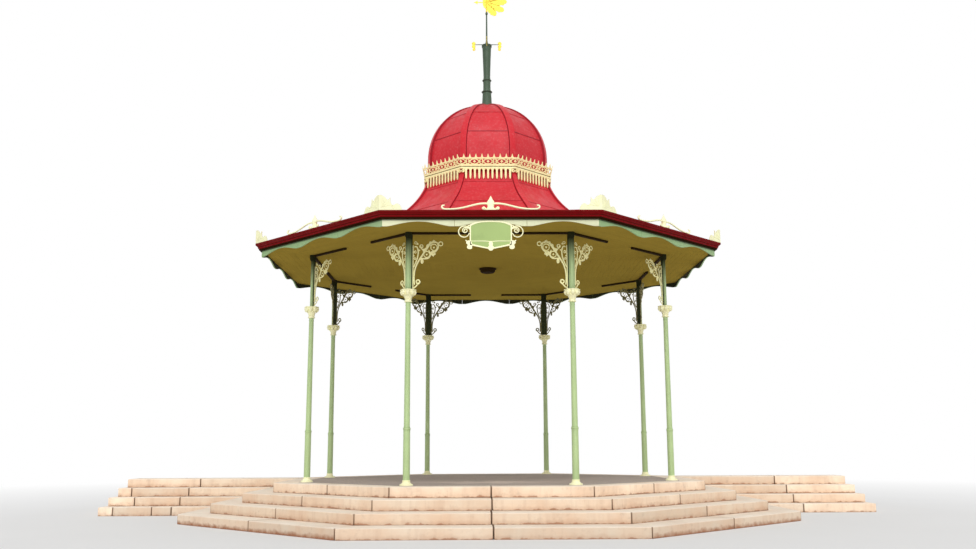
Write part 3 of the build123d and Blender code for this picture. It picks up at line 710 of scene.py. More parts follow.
class BANDSTAND_OT_kerb(bpy.types.Operator):
    """Build the kerb round the paved floor, and the upright wall behind it"""

    bl_idname = "bandstand.kerb"
    bl_label = "Kerb and rear wall"

    def execute(self, context):
        sizes = context.scene.bandstand_sizes
        rng = random.Random(51)
        distance = COURSES[3]
        width = distance - high("floor_paving").y
        bm = new_stones()
        for side in range(SIDES):
            turned_side(
                bm, side, course_side, distance, width, STEP_TOP, FLOOR, (None, None), rng, sizes, 0.1, 0.8
            )
        finish_piece("kerb_stones", bm, "stone", "kerb_course")
        bm = new_stones()
        for side in (3, 4, 5):
            for level in range(3):
                turned_side(bm, side, self.wall_side, level, distance, rng, sizes)
        finish_piece("rear_wall_stones", bm, "stone", "rear_platform")
        return {"FINISHED"}

    def wall_side(self, bm, level, distance, rng, sizes):
        """One row of the rear wall, with its joints staggered from row to row."""
        gap = sizes.block_joint / 2
        half = distance * SLOPE
        count = 4 if level % 2 else 3
        inner = distance - 0.3
        for index in range(count):
            left = -half + 2 * half * index / count
            right = -half + 2 * half * (index + 1) / count
            left_inner = -inner * SLOPE if index == 0 else left
            right_inner = inner * SLOPE if index == count - 1 else right
            plan = [
                (left + gap, -distance), (right - gap, -distance),
                (right_inner - gap, -inner), (left_inner + gap, -inner),
            ]
            stone_block(bm, plan, RISE * level, RISE * (level + 1), rng, sizes, 0.4)


# Distances from the middle to the joints of the side steps, lowest step first, on the left and on the right
LEFT_JOINTS = ([6.256, 6.644, 7.404], [6.199, 7.107], [6.135, 7.301], [6.002])
RIGHT_JOINTS = ([6.253], [6.173], [6.154], [6.019])


class BANDSTAND_OT_side_steps(bpy.types.Operator):
    """Build the straight steps on both sides of the platform from separate stones"""

    bl_idname = "bandstand.side_steps"
    bl_label = "Side steps"

    def execute(self, context):
        sizes = context.scene.bandstand_sizes
        for hand, side, joints in ((-1, "left", LEFT_JOINTS), (1, "right", RIGHT_JOINTS)):
            for level in range(4):
                rng = random.Random(60 + level + 10 * hand)
                name = f"{side}_wing_step_{level + 1}"
                node_low, node_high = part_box(name)
                inner, outer = sorted((abs(node_low.x), abs(node_high.x)))
                front, foot, top = node_low.y, node_low.z, node_high.z
                band = min(front + 0.44, REAR)
                bm = new_stones()
                self.row(bm, hand, [inner, *joints[level], outer], front, band, foot, top, rng, sizes)
                if REAR - band > 0.05:
                    steps = [inner + (outer - inner) * share for share in (0, 0.36, 0.7, 1)]
                    self.row(bm, hand, steps, band, REAR, foot, top, rng, sizes)
                finish_piece(f"{name}_stones", bm, "stone", name)
        return {"FINISHED"}

    def row(self, bm, hand, cuts, front, back, foot, top, rng, sizes):
        """A straight row of stones between its front and back lines."""
        gap = sizes.block_joint / 2
        for start, end in zip(cuts, cuts[1:]):
            left, right = sorted((hand * start, hand * end))
            plan = [
                (left + gap, front), (right - gap, front),
                (right - gap, back - gap), (left + gap, back - gap),
            ]
            shade = 1.0 if end == cuts[-1] else 0.3
            joints = (0.0 if left == -cuts[-1] else 1.0, 0.0 if right == cuts[-1] else 1.0)
            stone_block(bm, plan, foot, top, rng, sizes, 0.3 if hand < 0 else 0.12, shade, joints)


class BANDSTAND_OT_floor(bpy.types.Operator):
    """Give the paved floor its asphalt, and the platform's inside its rubble"""

    bl_idname = "bandstand.floor"
    bl_label = "Paved floor"

    def execute(self, context):
        coat("floor_paving", "asphalt")
        coat("platform_core", "rubble")
        return {"FINISHED"}


def coat(node, finish):
    """Give a node of the frame a finish."""
    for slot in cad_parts[node].material_slots:
        slot.material = finish_of(finish)


# Columns and brackets
def at_column(index):
    """The place of a column, with its outer side turned outward and its foot on the floor."""
    turn = -pi / 2 + TURN / 2 + TURN * index
    upright = Matrix.Translation((0, 0, FLOOR)) @ Matrix.Rotation(turn, 4, "Z")
    return upright @ Matrix.Translation((COLUMN_CIRCLE, 0, 0))


def copies_at_columns(name, build, finish):
    """One copy of a piece at each column, standing for that column's node."""
    source = bmesh.new()
    build(source)
    for index in range(SIDES):
        bm = source.copy()
        bm.transform(at_column(index))
        finish_piece(f"{name}_{index + 1}", bm, finish, f"column_{index + 1}")
    source.free()


def bead(radius, foot, height, reach, steps=5):
    """The profile of a rounded ring, from its foot to its top."""
    return [
        (radius + reach * sin(pi * step / steps), foot + height * (1 - cos(pi * step / steps)) / 2)
        for step in range(steps + 1)
    ]


class BANDSTAND_OT_columns(bpy.types.Operator):
    """Build the columns: shaft and clustered head in green, foot and leafy capital in cream"""

    bl_idname = "bandstand.columns"
    bl_label = "Columns"

    def execute(self, context):
        self.sizes = context.scene.bandstand_sizes
        copies_at_columns("column_shaft", self.shaft, "green")
        copies_at_columns("column_foot", self.foot, "cream")
        copies_at_columns("column_capital", self.capital, "cream")
        return {"FINISHED"}

    def shaft(self, bm):
        """The round shaft with its collar, and the clustered head above the capital."""
        collar = self.sizes.collar_height
        top = self.sizes.capital_foot
        profile = [(0, self.sizes.base_height * 0.6), (0.057, self.sizes.base_height * 0.6)]
        profile += [(0.059, self.sizes.base_height + 0.03), (0.057, collar - 0.055)]
        profile += bead(0.0565, collar - 0.05, 0.014, 0.004)
        profile += bead(0.0565, collar - 0.030, 0.030, 0.0085)
        profile += bead(0.0525, collar + 0.004, 0.012, 0.004)
        profile += [(0.051, collar + 0.03), (0.0435, top - 0.06)]
        profile += bead(0.0435, top - 0.055, 0.014, 0.005)
        profile += [(0.044, top - 0.02), (0.044, top + 0.05), (0, top + 0.05)]
        turn_profile(bm, profile, 32)
        value_layer(bm, "painted_shade")
        self.head(bm, self.sizes.capital_top - 0.01, CEILING - FLOOR)

    def head(self, bm, foot, top):
        """A core with three ribs towards each bracket, under a moulded block, with painted shade: deep near
        the ceiling, on the side facing the axis and on the block, lighter on the side ribs.
        """
        tall = top - foot
        bay = pi / 2 + TURN / 2
        ribs = [(0, 0.037, 0, 0)]
        for turn in (bay, -bay):
            ribs.append((0.050, 0.017, turn, 0.75))
            ribs += [(0.040, 0.014, turn + beside, 0.6) for beside in (-0.6, 0.6)]
        for reach, radius, turn, painted_shade in ribs:
            part = bmesh.new()
            layer = value_layer(part, "painted_shade")
            bmesh.ops.create_cone(
                part, cap_ends=True, segments=18, radius1=radius, radius2=radius, depth=tall
            )
            for share in (-0.06, 0.10, 0.25, 0.40):
                cut_across(part, (0, 0, tall * share), (0, 0, 1))
            # Painted shade: near black towards the ceiling and on the side facing the bandstand's axis, and
            # partly dark on the side ribs.
            for vert in part.verts:
                climb = vert.co.z / tall
                shade_near_ceiling = min(1.0, max(0.0, (climb + 0.06) / 0.46)) * 0.97
                shade_facing_axis = 0.9 if vert.co.x + reach * cos(turn) < -0.004 else 0.0
                vert[layer] = max(painted_shade * min(1.0, climb + 0.6), shade_near_ceiling, shade_facing_axis)
            add_part(bm, part, Matrix.Translation((reach * cos(turn), reach * sin(turn), foot + tall / 2)))
        moulding = [(0, top - 0.11), (0.046, top - 0.11), (0.061, top - 0.08), (0.066, top), (0, top)]
        block = bmesh.new()
        turn_profile(block, moulding, 24)
        # Painted shade: the block under the ceiling is near black.
        mark(block, "painted_shade", 0.97)
        add_part(bm, block)

    def foot(self, bm):
        """The flared foot, with a flat flange, a hollow and a bead."""
        height = self.sizes.base_height
        profile = [(0, 0), (0.112, 0), (0.112, 0.016), (0.107, 0.026), (0.088, 0.030)]
        profile += [(0.077, 0.038), (0.069, 0.049), (0.0645, 0.058), (0.0635, height - 0.026)]
        profile += bead(0.061, height - 0.022, 0.020, 0.007)
        profile += [(0.0585, height), (0, height)]
        turn_profile(bm, profile, 40)

    def capital(self, bm):
        """The capital: beads, a bell, a ring of curling leaves and a lobed plate."""
        foot = self.sizes.capital_foot
        top = self.sizes.capital_top
        profile = [(0, foot), (0.058, foot)]
        profile += bead(0.058, foot + 0.001, 0.022, 0.011)
        profile += [(0.056, foot + 0.028), (0.054, foot + 0.045)]
        profile += bead(0.055, foot + 0.047, 0.012, 0.006)
        profile += [(0.058, foot + 0.064), (0.070, foot + 0.10), (0.086, top - 0.090), (0.102, top - 0.055)]
        profile += [(0.110, top - 0.02), (0.112, top), (0, top)]
        turn_profile(bm, profile, 32)
        lobes = [(tau * index / 16, 0.140 if index % 2 else 0.118) for index in range(16)]
        rim = [(reach * cos(angle), reach * sin(angle)) for angle, reach in lobes]
        add_mesh(bm, cut_shape([rim], 0.016, 0.006, 3), Matrix.Translation((0, 0, top - 0.008)))
        for index in range(SIDES):
            turn = TURN * (index + 0.5)
            self.leaf(bm, turn, foot + 0.070, top - 0.010, 0.134, 0.084)
            self.leaf(bm, TURN * index, foot + 0.058, top - 0.085, 0.100, 0.050)
            for height, reach, radius in ((0.048, 0.104, 0.038), (0.078, 0.108, 0.022)):
                ball(bm, (reach * cos(turn), reach * sin(turn), top - height), radius, (1, 1, 1.05))

    def leaf(self, bm, turn, foot, top, reach, width):
        """A leaf that climbs the bell, curls outward and hangs its tip."""
        bends = [(0.060, 0.0, 0.6), (0.076, 0.35, 0.95), (0.096, 0.75, 1.0), (0.118, 0.98, 0.9)]
        bends += [(0.130, 0.93, 0.62), (0.132, 0.74, 0.25)]
        made = bmesh.ops.create_grid(bm, x_segments=4, y_segments=len(bends) - 1, size=1)
        scale = reach / 0.134
        for vert in made["verts"]:
            across = vert.co.x
            distance, climb, spread = bends[round((vert.co.y + 1) / 2 * (len(bends) - 1))]
            hollow = 0.010 * across * across
            vert.co = (distance * scale - hollow, across * spread * width / 2, foot + (top - foot) * climb)
        faces = list(dict.fromkeys(face for vert in made["verts"] for face in vert.link_faces))
        solid = bmesh.ops.solidify(bm, geom=faces, thickness=0.007)
        skin = [item for item in solid["geom"] if isinstance(item, bmesh.types.BMFace)]
        verts = set(made["verts"]) | {vert for face in skin for vert in face.verts}
        bmesh.ops.rotate(bm, cent=(0, 0, 0), matrix=Matrix.Rotation(turn, 3, "Z"), verts=list(verts))


class BANDSTAND_OT_brackets(bpy.types.Operator):
    """Build the pierced cast brackets, two at each column, from scrolls, vines and a leafy frond"""

    bl_idname = "bandstand.brackets"
    bl_label = "Brackets"

    def execute(self, context):
        rise = context.scene.bandstand_sizes.capital_top
        source = bmesh.new()
        self.casting(source)
        for index in range(SIDES):
            pair = bmesh.new()
            for hand in (1, -1):
                turn = Matrix.Rotation(hand * (pi / 2 + TURN / 2), 4, "Z")
                place = at_column(index) @ turn @ Matrix.Translation((0, 0, rise))
                add_part(pair, source.copy(), place @ Matrix.Rotation(pi / 2, 4, "X"))
            # Painted shade: faces turned towards the bandstand's axis are darkened.
            outward = COLUMN_PLACES[index].xy.normalized()
            pair.normal_update()
            painted_shade = value_layer(pair, "painted_shade")
            for vert in pair.verts:
                if vert.normal.xy.dot(outward) < -0.25:
                    vert[painted_shade] = 0.8
            finish_piece(f"bracket_pair_{index + 1}", pair, "straw", f"brackets_{index + 1}")
        source.free()
        return {"FINISHED"}

    def casting(self, bm):
        """One bracket in the XY plane: x from the column's axis, y from the capital's top."""
        bar = 0.0125
        inner_stem = [(0.078, 0.014, bar * 0.9), (0.078, 0.35, bar * 0.9), (0.077, 0.775, bar * 0.8)]
        vine = [
            (0.106, 0.085, bar), (0.096, 0.150, bar), (0.097, 0.260, bar), (0.110, 0.355, bar * 1.1),
            (0.142, 0.445, bar * 1.2), (0.196, 0.540, bar * 1.35), (0.255, 0.630, bar * 1.4),
            (0.318, 0.725, bar * 1.4), (0.374, 0.806, bar * 1.3), (0.430, 0.840, bar), (0.490, 0.826, bar),
            (0.520, 0.790, bar * 0.8),
        ]
        hook = [(0.074, 0.016, bar), (0.108, 0.040, bar), (0.140, 0.066, bar), (0.160, 0.096, bar)]
        first_loop = [
            (0.190, 0.548, bar), (0.240, 0.542, bar), (0.300, 0.538, bar), (0.352, 0.558, bar),
            (0.378, 0.605, bar), (0.368, 0.655, bar), (0.345, 0.690, bar * 0.9),
        ]
        second_loop = [
            (0.374, 0.640, bar), (0.428, 0.650, bar), (0.480, 0.680, bar), (0.510, 0.725, bar),
            (0.512, 0.780, bar), (0.490, 0.822, bar * 0.9),
        ]
        tendril = [
            (0.088, 0.390, bar * 0.8), (0.124, 0.470, bar), (0.156, 0.560, bar), (0.168, 0.650, bar),
            (0.160, 0.720, bar), (0.126, 0.768, bar * 0.9), (0.098, 0.742, bar * 0.7),
        ]
        shoot = [(0.262, 0.650, bar), (0.248, 0.704, bar * 0.9), (0.216, 0.724, bar * 0.8)]
        twig = [(0.205, 0.560, bar), (0.228, 0.525, bar * 0.9), (0.232, 0.492, bar)]
        paths = [inner_stem, vine, hook, first_loop, second_loop, tendril, shoot, twig]
        paths += [
            spiral((0.164, 0.138), 0.037, 0.030, 1.2, -95, bar * 1.15),
            spiral((0.310, 0.614), 0.058, 0.052, 1.02, 150, bar * 0.8, hand=-1, steps=10),
            spiral((0.433, 0.738), 0.062, 0.056, 1.02, 160, bar * 0.8, hand=-1, steps=10),
            spiral((0.550, 0.800), 0.041, 0.034, 1.2, 200, bar * 0.95, hand=-1),
            spiral((0.222, 0.758), 0.036, 0.020, 1.2, -120, bar * 0.8, hand=-1),
            spiral((0.116, 0.655), 0.026, 0.012, 1.0, 60, bar * 0.7),
            spiral((0.112, 0.540), 0.022, 0.010, 1.0, 80, bar * 0.6),
            spiral((0.120, 0.815), 0.030, 0.014, 1.0, -60, bar * 0.7),
        ]
        for path in paths:
            add_mesh(bm, strokes([path]))
        frond = [
            (0.252, 0.660), (0.262, 0.706), (0.296, 0.738), (0.308, 0.786), (0.345, 0.806), (0.362, 0.844, 1),
            (0.398, 0.842), (0.424, 0.872, 1), (0.456, 0.852), (0.478, 0.820), (0.430, 0.818), (0.374, 0.792),
            (0.330, 0.730), (0.290, 0.670),
        ]
        lower_leaf = [
            (0.368, 0.606), (0.396, 0.598), (0.425, 0.572, 1), (0.440, 0.600), (0.466, 0.612, 1),
            (0.456, 0.650), (0.428, 0.676), (0.385, 0.665),
        ]
        bud = [
            (0.214, 0.556), (0.248, 0.530, 1), (0.258, 0.490), (0.242, 0.456), (0.214, 0.462), (0.206, 0.500),
        ]
        for leaf in (frond, lower_leaf, bud):
            add_mesh(bm, cut_shape([leaf], 0.018, 0.005))
        for x, y, radius in (
            (0.310, 0.614, 0.017), (0.433, 0.738, 0.018), (0.232, 0.476, 0.024), (0.428, 0.625, 0.024),
            (0.262, 0.704, 0.018), (0.154, 0.800, 0.017), (0.186, 0.690, 0.014), (0.092, 0.590, 0.012),
        ):
            ball(bm, (x, y, 0), radius, (1, 1, 0.75))
        bm.transform(Matrix.Diagonal((1, 1, 0.6, 1)))
        # Painted shade: the upper part, nearest the column and the ceiling, darkens a little.
        painted_shade = value_layer(bm, "painted_shade")
        for vert in bm.verts:
            vert[painted_shade] = min(0.2, max(0.0, (vert.co.y - 0.66) * 1.6 - vert.co.x * 0.35))


class BANDSTAND_OT_arms(bpy.types.Operator):
    """Build the dark iron arms under the ceiling, with rounded ends and a small knob under each end"""

    bl_idname = "bandstand.arms"
    bl_label = "Eaves arms"

    def execute(self, context):
        bm = bmesh.new()
        node_low, node_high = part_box("eaves_arms")
        depth = node_high.z - node_low.z
        reach = 1.036
        width = 0.060
        for index in range(SIDES):
            for hand in (1, -1):
                part = bmesh.new()
                box(part, ((reach - width / 2) / 2, 0, 0), (reach - width / 2, width, depth), 0.006)
                bmesh.ops.create_cone(
                    part, cap_ends=True, segments=20, radius1=width / 2, radius2=width / 2, depth=depth,
                    matrix=Matrix.Translation((reach - width / 2, 0, 0)),
                )
                ball(part, (reach - width / 2, 0, -depth / 2), 0.012, (1, 1, 0.5))
                turn = Matrix.Rotation(hand * (pi / 2 + TURN / 2), 4, "Z")
                rise = Matrix.Translation((0, 0, node_low.z + depth / 2 - FLOOR))
                add_part(bm, part, at_column(index) @ turn @ rise)
        finish_piece("eaves_arm_bars", bm, "dark", "eaves_arms")
        return {"FINISHED"}


# Eaves
class BANDSTAND_OT_ceiling(bpy.types.Operator):
    """Build the boarded ceiling, its boards parallel to each side, and its round dark fitting"""

    bl_idname = "bandstand.ceiling"
    bl_label = "Ceiling"

    def execute(self, context):
        sizes = context.scene.bandstand_sizes
        rng = random.Random(70)
        outer = BOARD_LINE - 0.026
        count = int(outer / sizes.ceiling_board)
        thick = high("ceiling").z - CEILING
        bm = bmesh.new()
        tone = value_layer(bm, "tone")
        for index in range(count):
            edge = outer - sizes.ceiling_board * index
            inner = edge - sizes.ceiling_board + 0.001
            bevel = 0.0015
            section = [
                (edge, CEILING + bevel), (edge - bevel, CEILING), (inner + bevel, CEILING),
                (inner, CEILING + bevel), (inner, CEILING + thick), (edge, CEILING + thick),
            ]
            if inner < 0.02:
                break
            before = len(bm.verts)
            section_run(bm, section, 0.0005)
            shade = rng.random()
            bm.verts.ensure_lookup_table()
            for vert in bm.verts[before:]:
                vert[tone] = shade
        all_sides(bm)
        finish_piece("ceiling_boards", bm, "soffit", "ceiling")
        bm = bmesh.new()
        node_low, node_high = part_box("ceiling_vent")
        radius = node_high.x
        depth = node_high.z - node_low.z
        profile = [(0, 0.012), (radius * 0.30, 0.010), (radius * 0.52, 0.002), (radius * 0.60, 0)]
        profile += [(radius * 0.72, 0.006), (radius * 0.83, depth * 0.35), (radius * 0.87, depth - 0.024)]
        profile += bead(radius * 0.88, depth - 0.022, 0.020, radius * 0.11)
        profile += [(0, depth)]
        turn_profile(bm, [(reach, node_low.z + rise) for reach, rise in profile], 48)
        finish_piece("ceiling_fitting", bm, "dark", "ceiling_vent")
        return {"FINISHED"}


class BANDSTAND_OT_valance(bpy.types.Operator):
    """Build the shaped boards under the gutter, three to a side, each with an arch in its lower edge"""

    bl_idname = "bandstand.valance"
    bl_label = "Valance"

    def execute(self, context):
        sizes = context.scene.bandstand_sizes
        half = BOARD_LINE * SLOPE
        pitch = 2 * half / 3
        thick = 0.025
        rise = BOARD_TOP - BOARD_FOOT
        shade_band_foot = GUTTER_FOOT - BOARD_FOOT - 0.016
        bm = bmesh.new()
        for name in ("tone", "painted_shade", "second"):
            value_layer(bm, name)
        gap = 0.0025
        for index in (-1, 0, 1):
            middle = pitch * index
            left, right = middle - pitch / 2 + gap, middle + pitch / 2 - gap
            spring = pitch / 2 - sizes.drop_width / 2
            arch = []
            for step in range(13):
                across = -1 + 2 * step / 12
                swell = (0.5 + 0.5 * cos(pi * across)) ** 0.6
                arch.append((middle + spring * across, sizes.arch_rise * swell))
            outline = [(left, 0), *arch, (right, 0), (right, rise), (left, rise)]
            part = bmesh.new()
            tone, painted_shade = value_layer(part, "tone"), value_layer(part, "painted_shade")
            prism(part, [(x, y, 0) for x, y in outline], (0, 0, -thick))
            bmesh.ops.recalc_face_normals(part, faces=part.faces)
            # Painted shade: a band along the top, under the gutter, and the back faces are near black.
            for height in (shade_band_foot - 0.014, shade_band_foot):
                cut_across(part, (0, height, 0), (0, 1, 0))
            inside = set_apart(part, [face for face in part.faces if face.normal.z < -0.9])
            for vert in part.verts:
                vert[tone] = (index + 1) * 0.4
                vert[painted_shade] = 0.8 if vert.co.y > shade_band_foot - 0.001 else 0.0
            for vert in inside:
                vert[painted_shade] = 0.97
            add_part(bm, part, on_front(BOARD_LINE, BOARD_FOOT))
        for vert in bm.verts:
            vert.co.x = max(min(vert.co.x, -vert.co.y * SLOPE - 0.001), vert.co.y * SLOPE + 0.001)
        all_sides(bm)
        # Painted shade: boards on all but the front side take the darker second colour.
        second = value_layer(bm, "second")
        for vert in bm.verts:
            vert[second] = 0.0 if abs(vert.co.x) <= -vert.co.y * SLOPE else 1.0
        finish_piece("valance_boards", bm, "mint", "valance")
        return {"FINISHED"}


class BANDSTAND_OT_gutter(bpy.types.Operator):
    """Build the moulded gutter, mitred at the corners, with a joint strap on each length"""

    bl_idname = "bandstand.gutter"
    bl_label = "Gutter"

    def execute(self, context):
        reach = GUTTER_LINE - BOARD_LINE
        height = GUTTER_TOP - GUTTER_FOOT
        face = [
            (0, 0), (0.36, 0), (0.42, 0.03), (0.45, 0.10), (0.45, 0.18), (0.52, 0.21), (0.58, 0.27),
            (0.61, 0.36), (0.61, 0.46), (0.66, 0.49), (0.72, 0.53), (0.78, 0.60), (0.82, 0.68), (0.88, 0.72),
            (0.97, 0.735), (1.0, 0.76), (1.0, 0.97), (0.985, 1.0), (0.91, 1.0), (0.89, 0.97), (0.87, 0.84),
            (0.55, 0.70), (0.45, 0.38), (0.14, 0.30), (0.13, 0.68), (0, 0.70),
        ]
        section = [(BOARD_LINE + reach * out, GUTTER_FOOT + height * up) for out, up in face]
        bm = bmesh.new()
        section_run(bm, section, 0.0008)
        strap = [(BOARD_LINE + reach * out + 0.004, GUTTER_FOOT + height * up) for out, up in face[1:17]]
        inner = [(distance - 0.008, rise) for distance, rise in reversed(strap)]
        strap_width = 0.028
        for middle in (-0.62, 0.62):
            corners = [(middle - strap_width / 2, -distance, rise) for distance, rise in strap + inner]
            prism(bm, corners, (strap_width, 0, 0))
        # Painted shade: near black along the low back of the moulding over the valance, a darker band across
        # the middle, and a little darker on the top.
        painted_shade = value_layer(bm, "painted_shade")
        for vert in bm.verts:
            out, up = (-vert.co.y - BOARD_LINE) / reach, (vert.co.z - GUTTER_FOOT) / height
            if up < 0.2 and out < 0.5:
                vert[painted_shade] = 0.92
            elif 0.40 < up < 0.50:
                vert[painted_shade] = 0.55
            elif up > 0.71:
                vert[painted_shade] = 0.2
        all_sides(bm)
        finish_piece("gutter_mouldings", bm, "crimson", "gutter", sharp=28)
        return {"FINISHED"}


# Roof
def roof_over(distance, sizes):
    """Height of the low roof's upper face at a distance from the axis."""
    thickness = sizes.roof_board / cos(sizes.roof_pitch)
    return BOARD_TOP + (BOARD_LINE - distance) * tan(sizes.roof_pitch) + thickness


def neck_points():
    """The neck's side from its foot to its top: straight, then an arc that turns upright."""
    pitch = radians(45.3)
    straight = 0.595
    count = 14
    foot = (NECK_LINE, low("roof_neck").z)
    bend = (foot[0] - straight * cos(pitch), foot[1] + straight * sin(pitch))
    top = (DOME_LINE, NECK_TOP)
    chord = Vector((top[0] - bend[0], top[1] - bend[1]))
    tangent = Vector((-cos(pitch), sin(pitch)))
    normal = Vector((sin(pitch), cos(pitch)))
    radius = chord.length_squared / (2 * chord.dot(normal))
    centre = Vector(bend) + normal * radius
    sweep = 2 * atan2(chord.dot(normal), chord.dot(tangent))
    points = [foot, ((foot[0] + bend[0]) / 2, (foot[1] + bend[1]) / 2)]
    start = Vector(bend) - centre
    for step in range(count + 1):
        angle = sweep * step / count
        across = start.x * cos(angle) + start.y * sin(angle)
        up = -start.x * sin(angle) + start.y * cos(angle)
        points.append(tuple(centre + Vector((across, up))))
    return points


def dome_points(shift=0.0, stop=0.08):
    """The dome's side from its foot to its crown, moved outward by a shift and stopped short of the axis."""
    count = 22
    spring = DOME_FOOT + 0.385
    line = DOME_LINE + shift
    rise = 1.31 + shift
    last = pi / 2 - stop / line
    points = [(line, DOME_FOOT), (line, DOME_FOOT + 0.19)]
    for step in range(count + 1):
        angle = last * step / count
        points.append((line * cos(angle), spring + rise * sin(angle)))
    return points


def point_at(points, height):
    """The point and the outward direction of a side at a height."""
    for (near, rise), (far, top) in zip(points, points[1:]):
        if rise <= height <= top:
            share = (height - rise) / (top - rise)
            run = Vector((far - near, top - rise)).normalized()
            return Vector((near + (far - near) * share, height)), Vector((run.y, -run.x))
    raise ValueError("the side doesn't reach that height")


def sheet_side(bm, points, thick, seams, seam, margin):
    """Sheet metal on the front side, with folded seams across it, each at a height and with a darkness."""
    inner = [(distance - thick, rise) for distance, rise in reversed(points)]
    section_run(bm, [*points, *inner], 0.001)
    for height, depth in seams:
        spot, out = point_at(points, height)
        up = Vector((-out.y, out.x))
        lifts = ((-1, -0.002), (-1, seam * 0.4), (1, seam * 0.4), (1, -0.002))
        corners = [spot + up * seam * side * 0.5 + out * lift for side, lift in lifts]
        fold = bmesh.new()
        section_run(fold, [tuple(corner) for corner in corners], margin)
        # Painted shade: each fold takes its share of the dark seam red.
        mark(fold, "dark", depth)
        add_part(bm, fold)


class BANDSTAND_OT_low_roof(bpy.types.Operator):
    """Build the low roof of sheet metal, with standing seams from the eaves to the neck"""

    bl_idname = "bandstand.low_roof"
    bl_label = "Low roof"

    def execute(self, context):
        sizes = context.scene.bandstand_sizes
        inner = NECK_LINE - 0.09
        thick = sizes.roof_board / cos(sizes.roof_pitch)
        bm = bmesh.new()
        value_layer(bm, "dark")
        outer_top = roof_over(ROOF_LINE, sizes)
        inner_top = roof_over(inner, sizes)
        section_run(bm, [
            (ROOF_LINE, outer_top - thick), (ROOF_LINE, outer_top),
            (inner, inner_top), (inner, inner_top - thick),
        ])
        for x in (-1.35, -0.9, -0.45, 0, 0.45, 0.9, 1.35):
            head = max(NECK_LINE + 0.02, abs(x) / SLOPE + 0.12)
            self.standing_seam(bm, x, ROOF_LINE, head, sizes)
        all_sides(bm)
        finish_piece("low_roof_sheets", bm, "red", "lower_roof")
        return {"FINISHED"}

    def standing_seam(self, bm, x, foot, head, sizes):
        """A folded seam that runs up the slope."""
        wide, tall = 0.009, 0.022
        start, end = roof_over(foot, sizes) - 0.004, roof_over(head, sizes) - 0.004
        section = ((-wide, 0), (wide, 0), (wide * 0.6, tall), (-wide * 0.6, tall))
        corners = [(x + across, -foot, start + rise) for across, rise in section]
        fold = bmesh.new()
        prism(fold, corners, (0, foot - head, end - start))
        # Painted shade: the fold takes a third of the dark seam red.
        mark(fold, "dark", 0.35)
        add_part(bm, fold)


class BANDSTAND_OT_neck_and_dome(bpy.types.Operator):
    """Build the flared neck and the dome of sheet metal, with their seams and the ledge between them"""

    bl_idname = "bandstand.neck_and_dome"
    bl_label = "Neck and dome"

    def execute(self, context):
        sizes = context.scene.bandstand_sizes
        # Each seam: its height, and its share of the painted shade.
        neck_seams = ((FLOOR + 5.285, 0.5), (FLOOR + 5.78, 0.4))
        dome_seams = ((FLOOR + 6.877, 0.95), (FLOOR + 7.372, 0.45))
        for name, points, thick, seams, node in (
            ("neck_sheets", neck_points(), 0.035, neck_seams, "roof_neck"),
            ("dome_sheets", dome_points(shift=-0.008), 0.030, dome_seams, "dome"),
        ):
            bm = bmesh.new()
            value_layer(bm, "dark")
            sheet_side(bm, points, thick, seams, sizes.seam_size, sizes.roll_width / 2)
            all_sides(bm)
            finish_piece(name, bm, "red", node, sharp=30)
        bm = bmesh.new()
        value_layer(bm, "dark")
        inner, outer = DOME_LINE - 0.035, LEDGE_LINE
        foot, top = low("dome_ledge").z, high("dome_ledge").z
        section_run(bm, [
            (inner, foot), (outer - 0.030, foot), (outer - 0.022, foot + 0.006),
            (outer - 0.012, foot + 0.018), (outer, foot + 0.023), (outer, top - 0.004),
            (outer - 0.004, top), (inner, top),
        ])
        all_sides(bm)
        finish_piece("ledge_moulding", bm, "red", "dome_ledge")
        return {"FINISHED"}


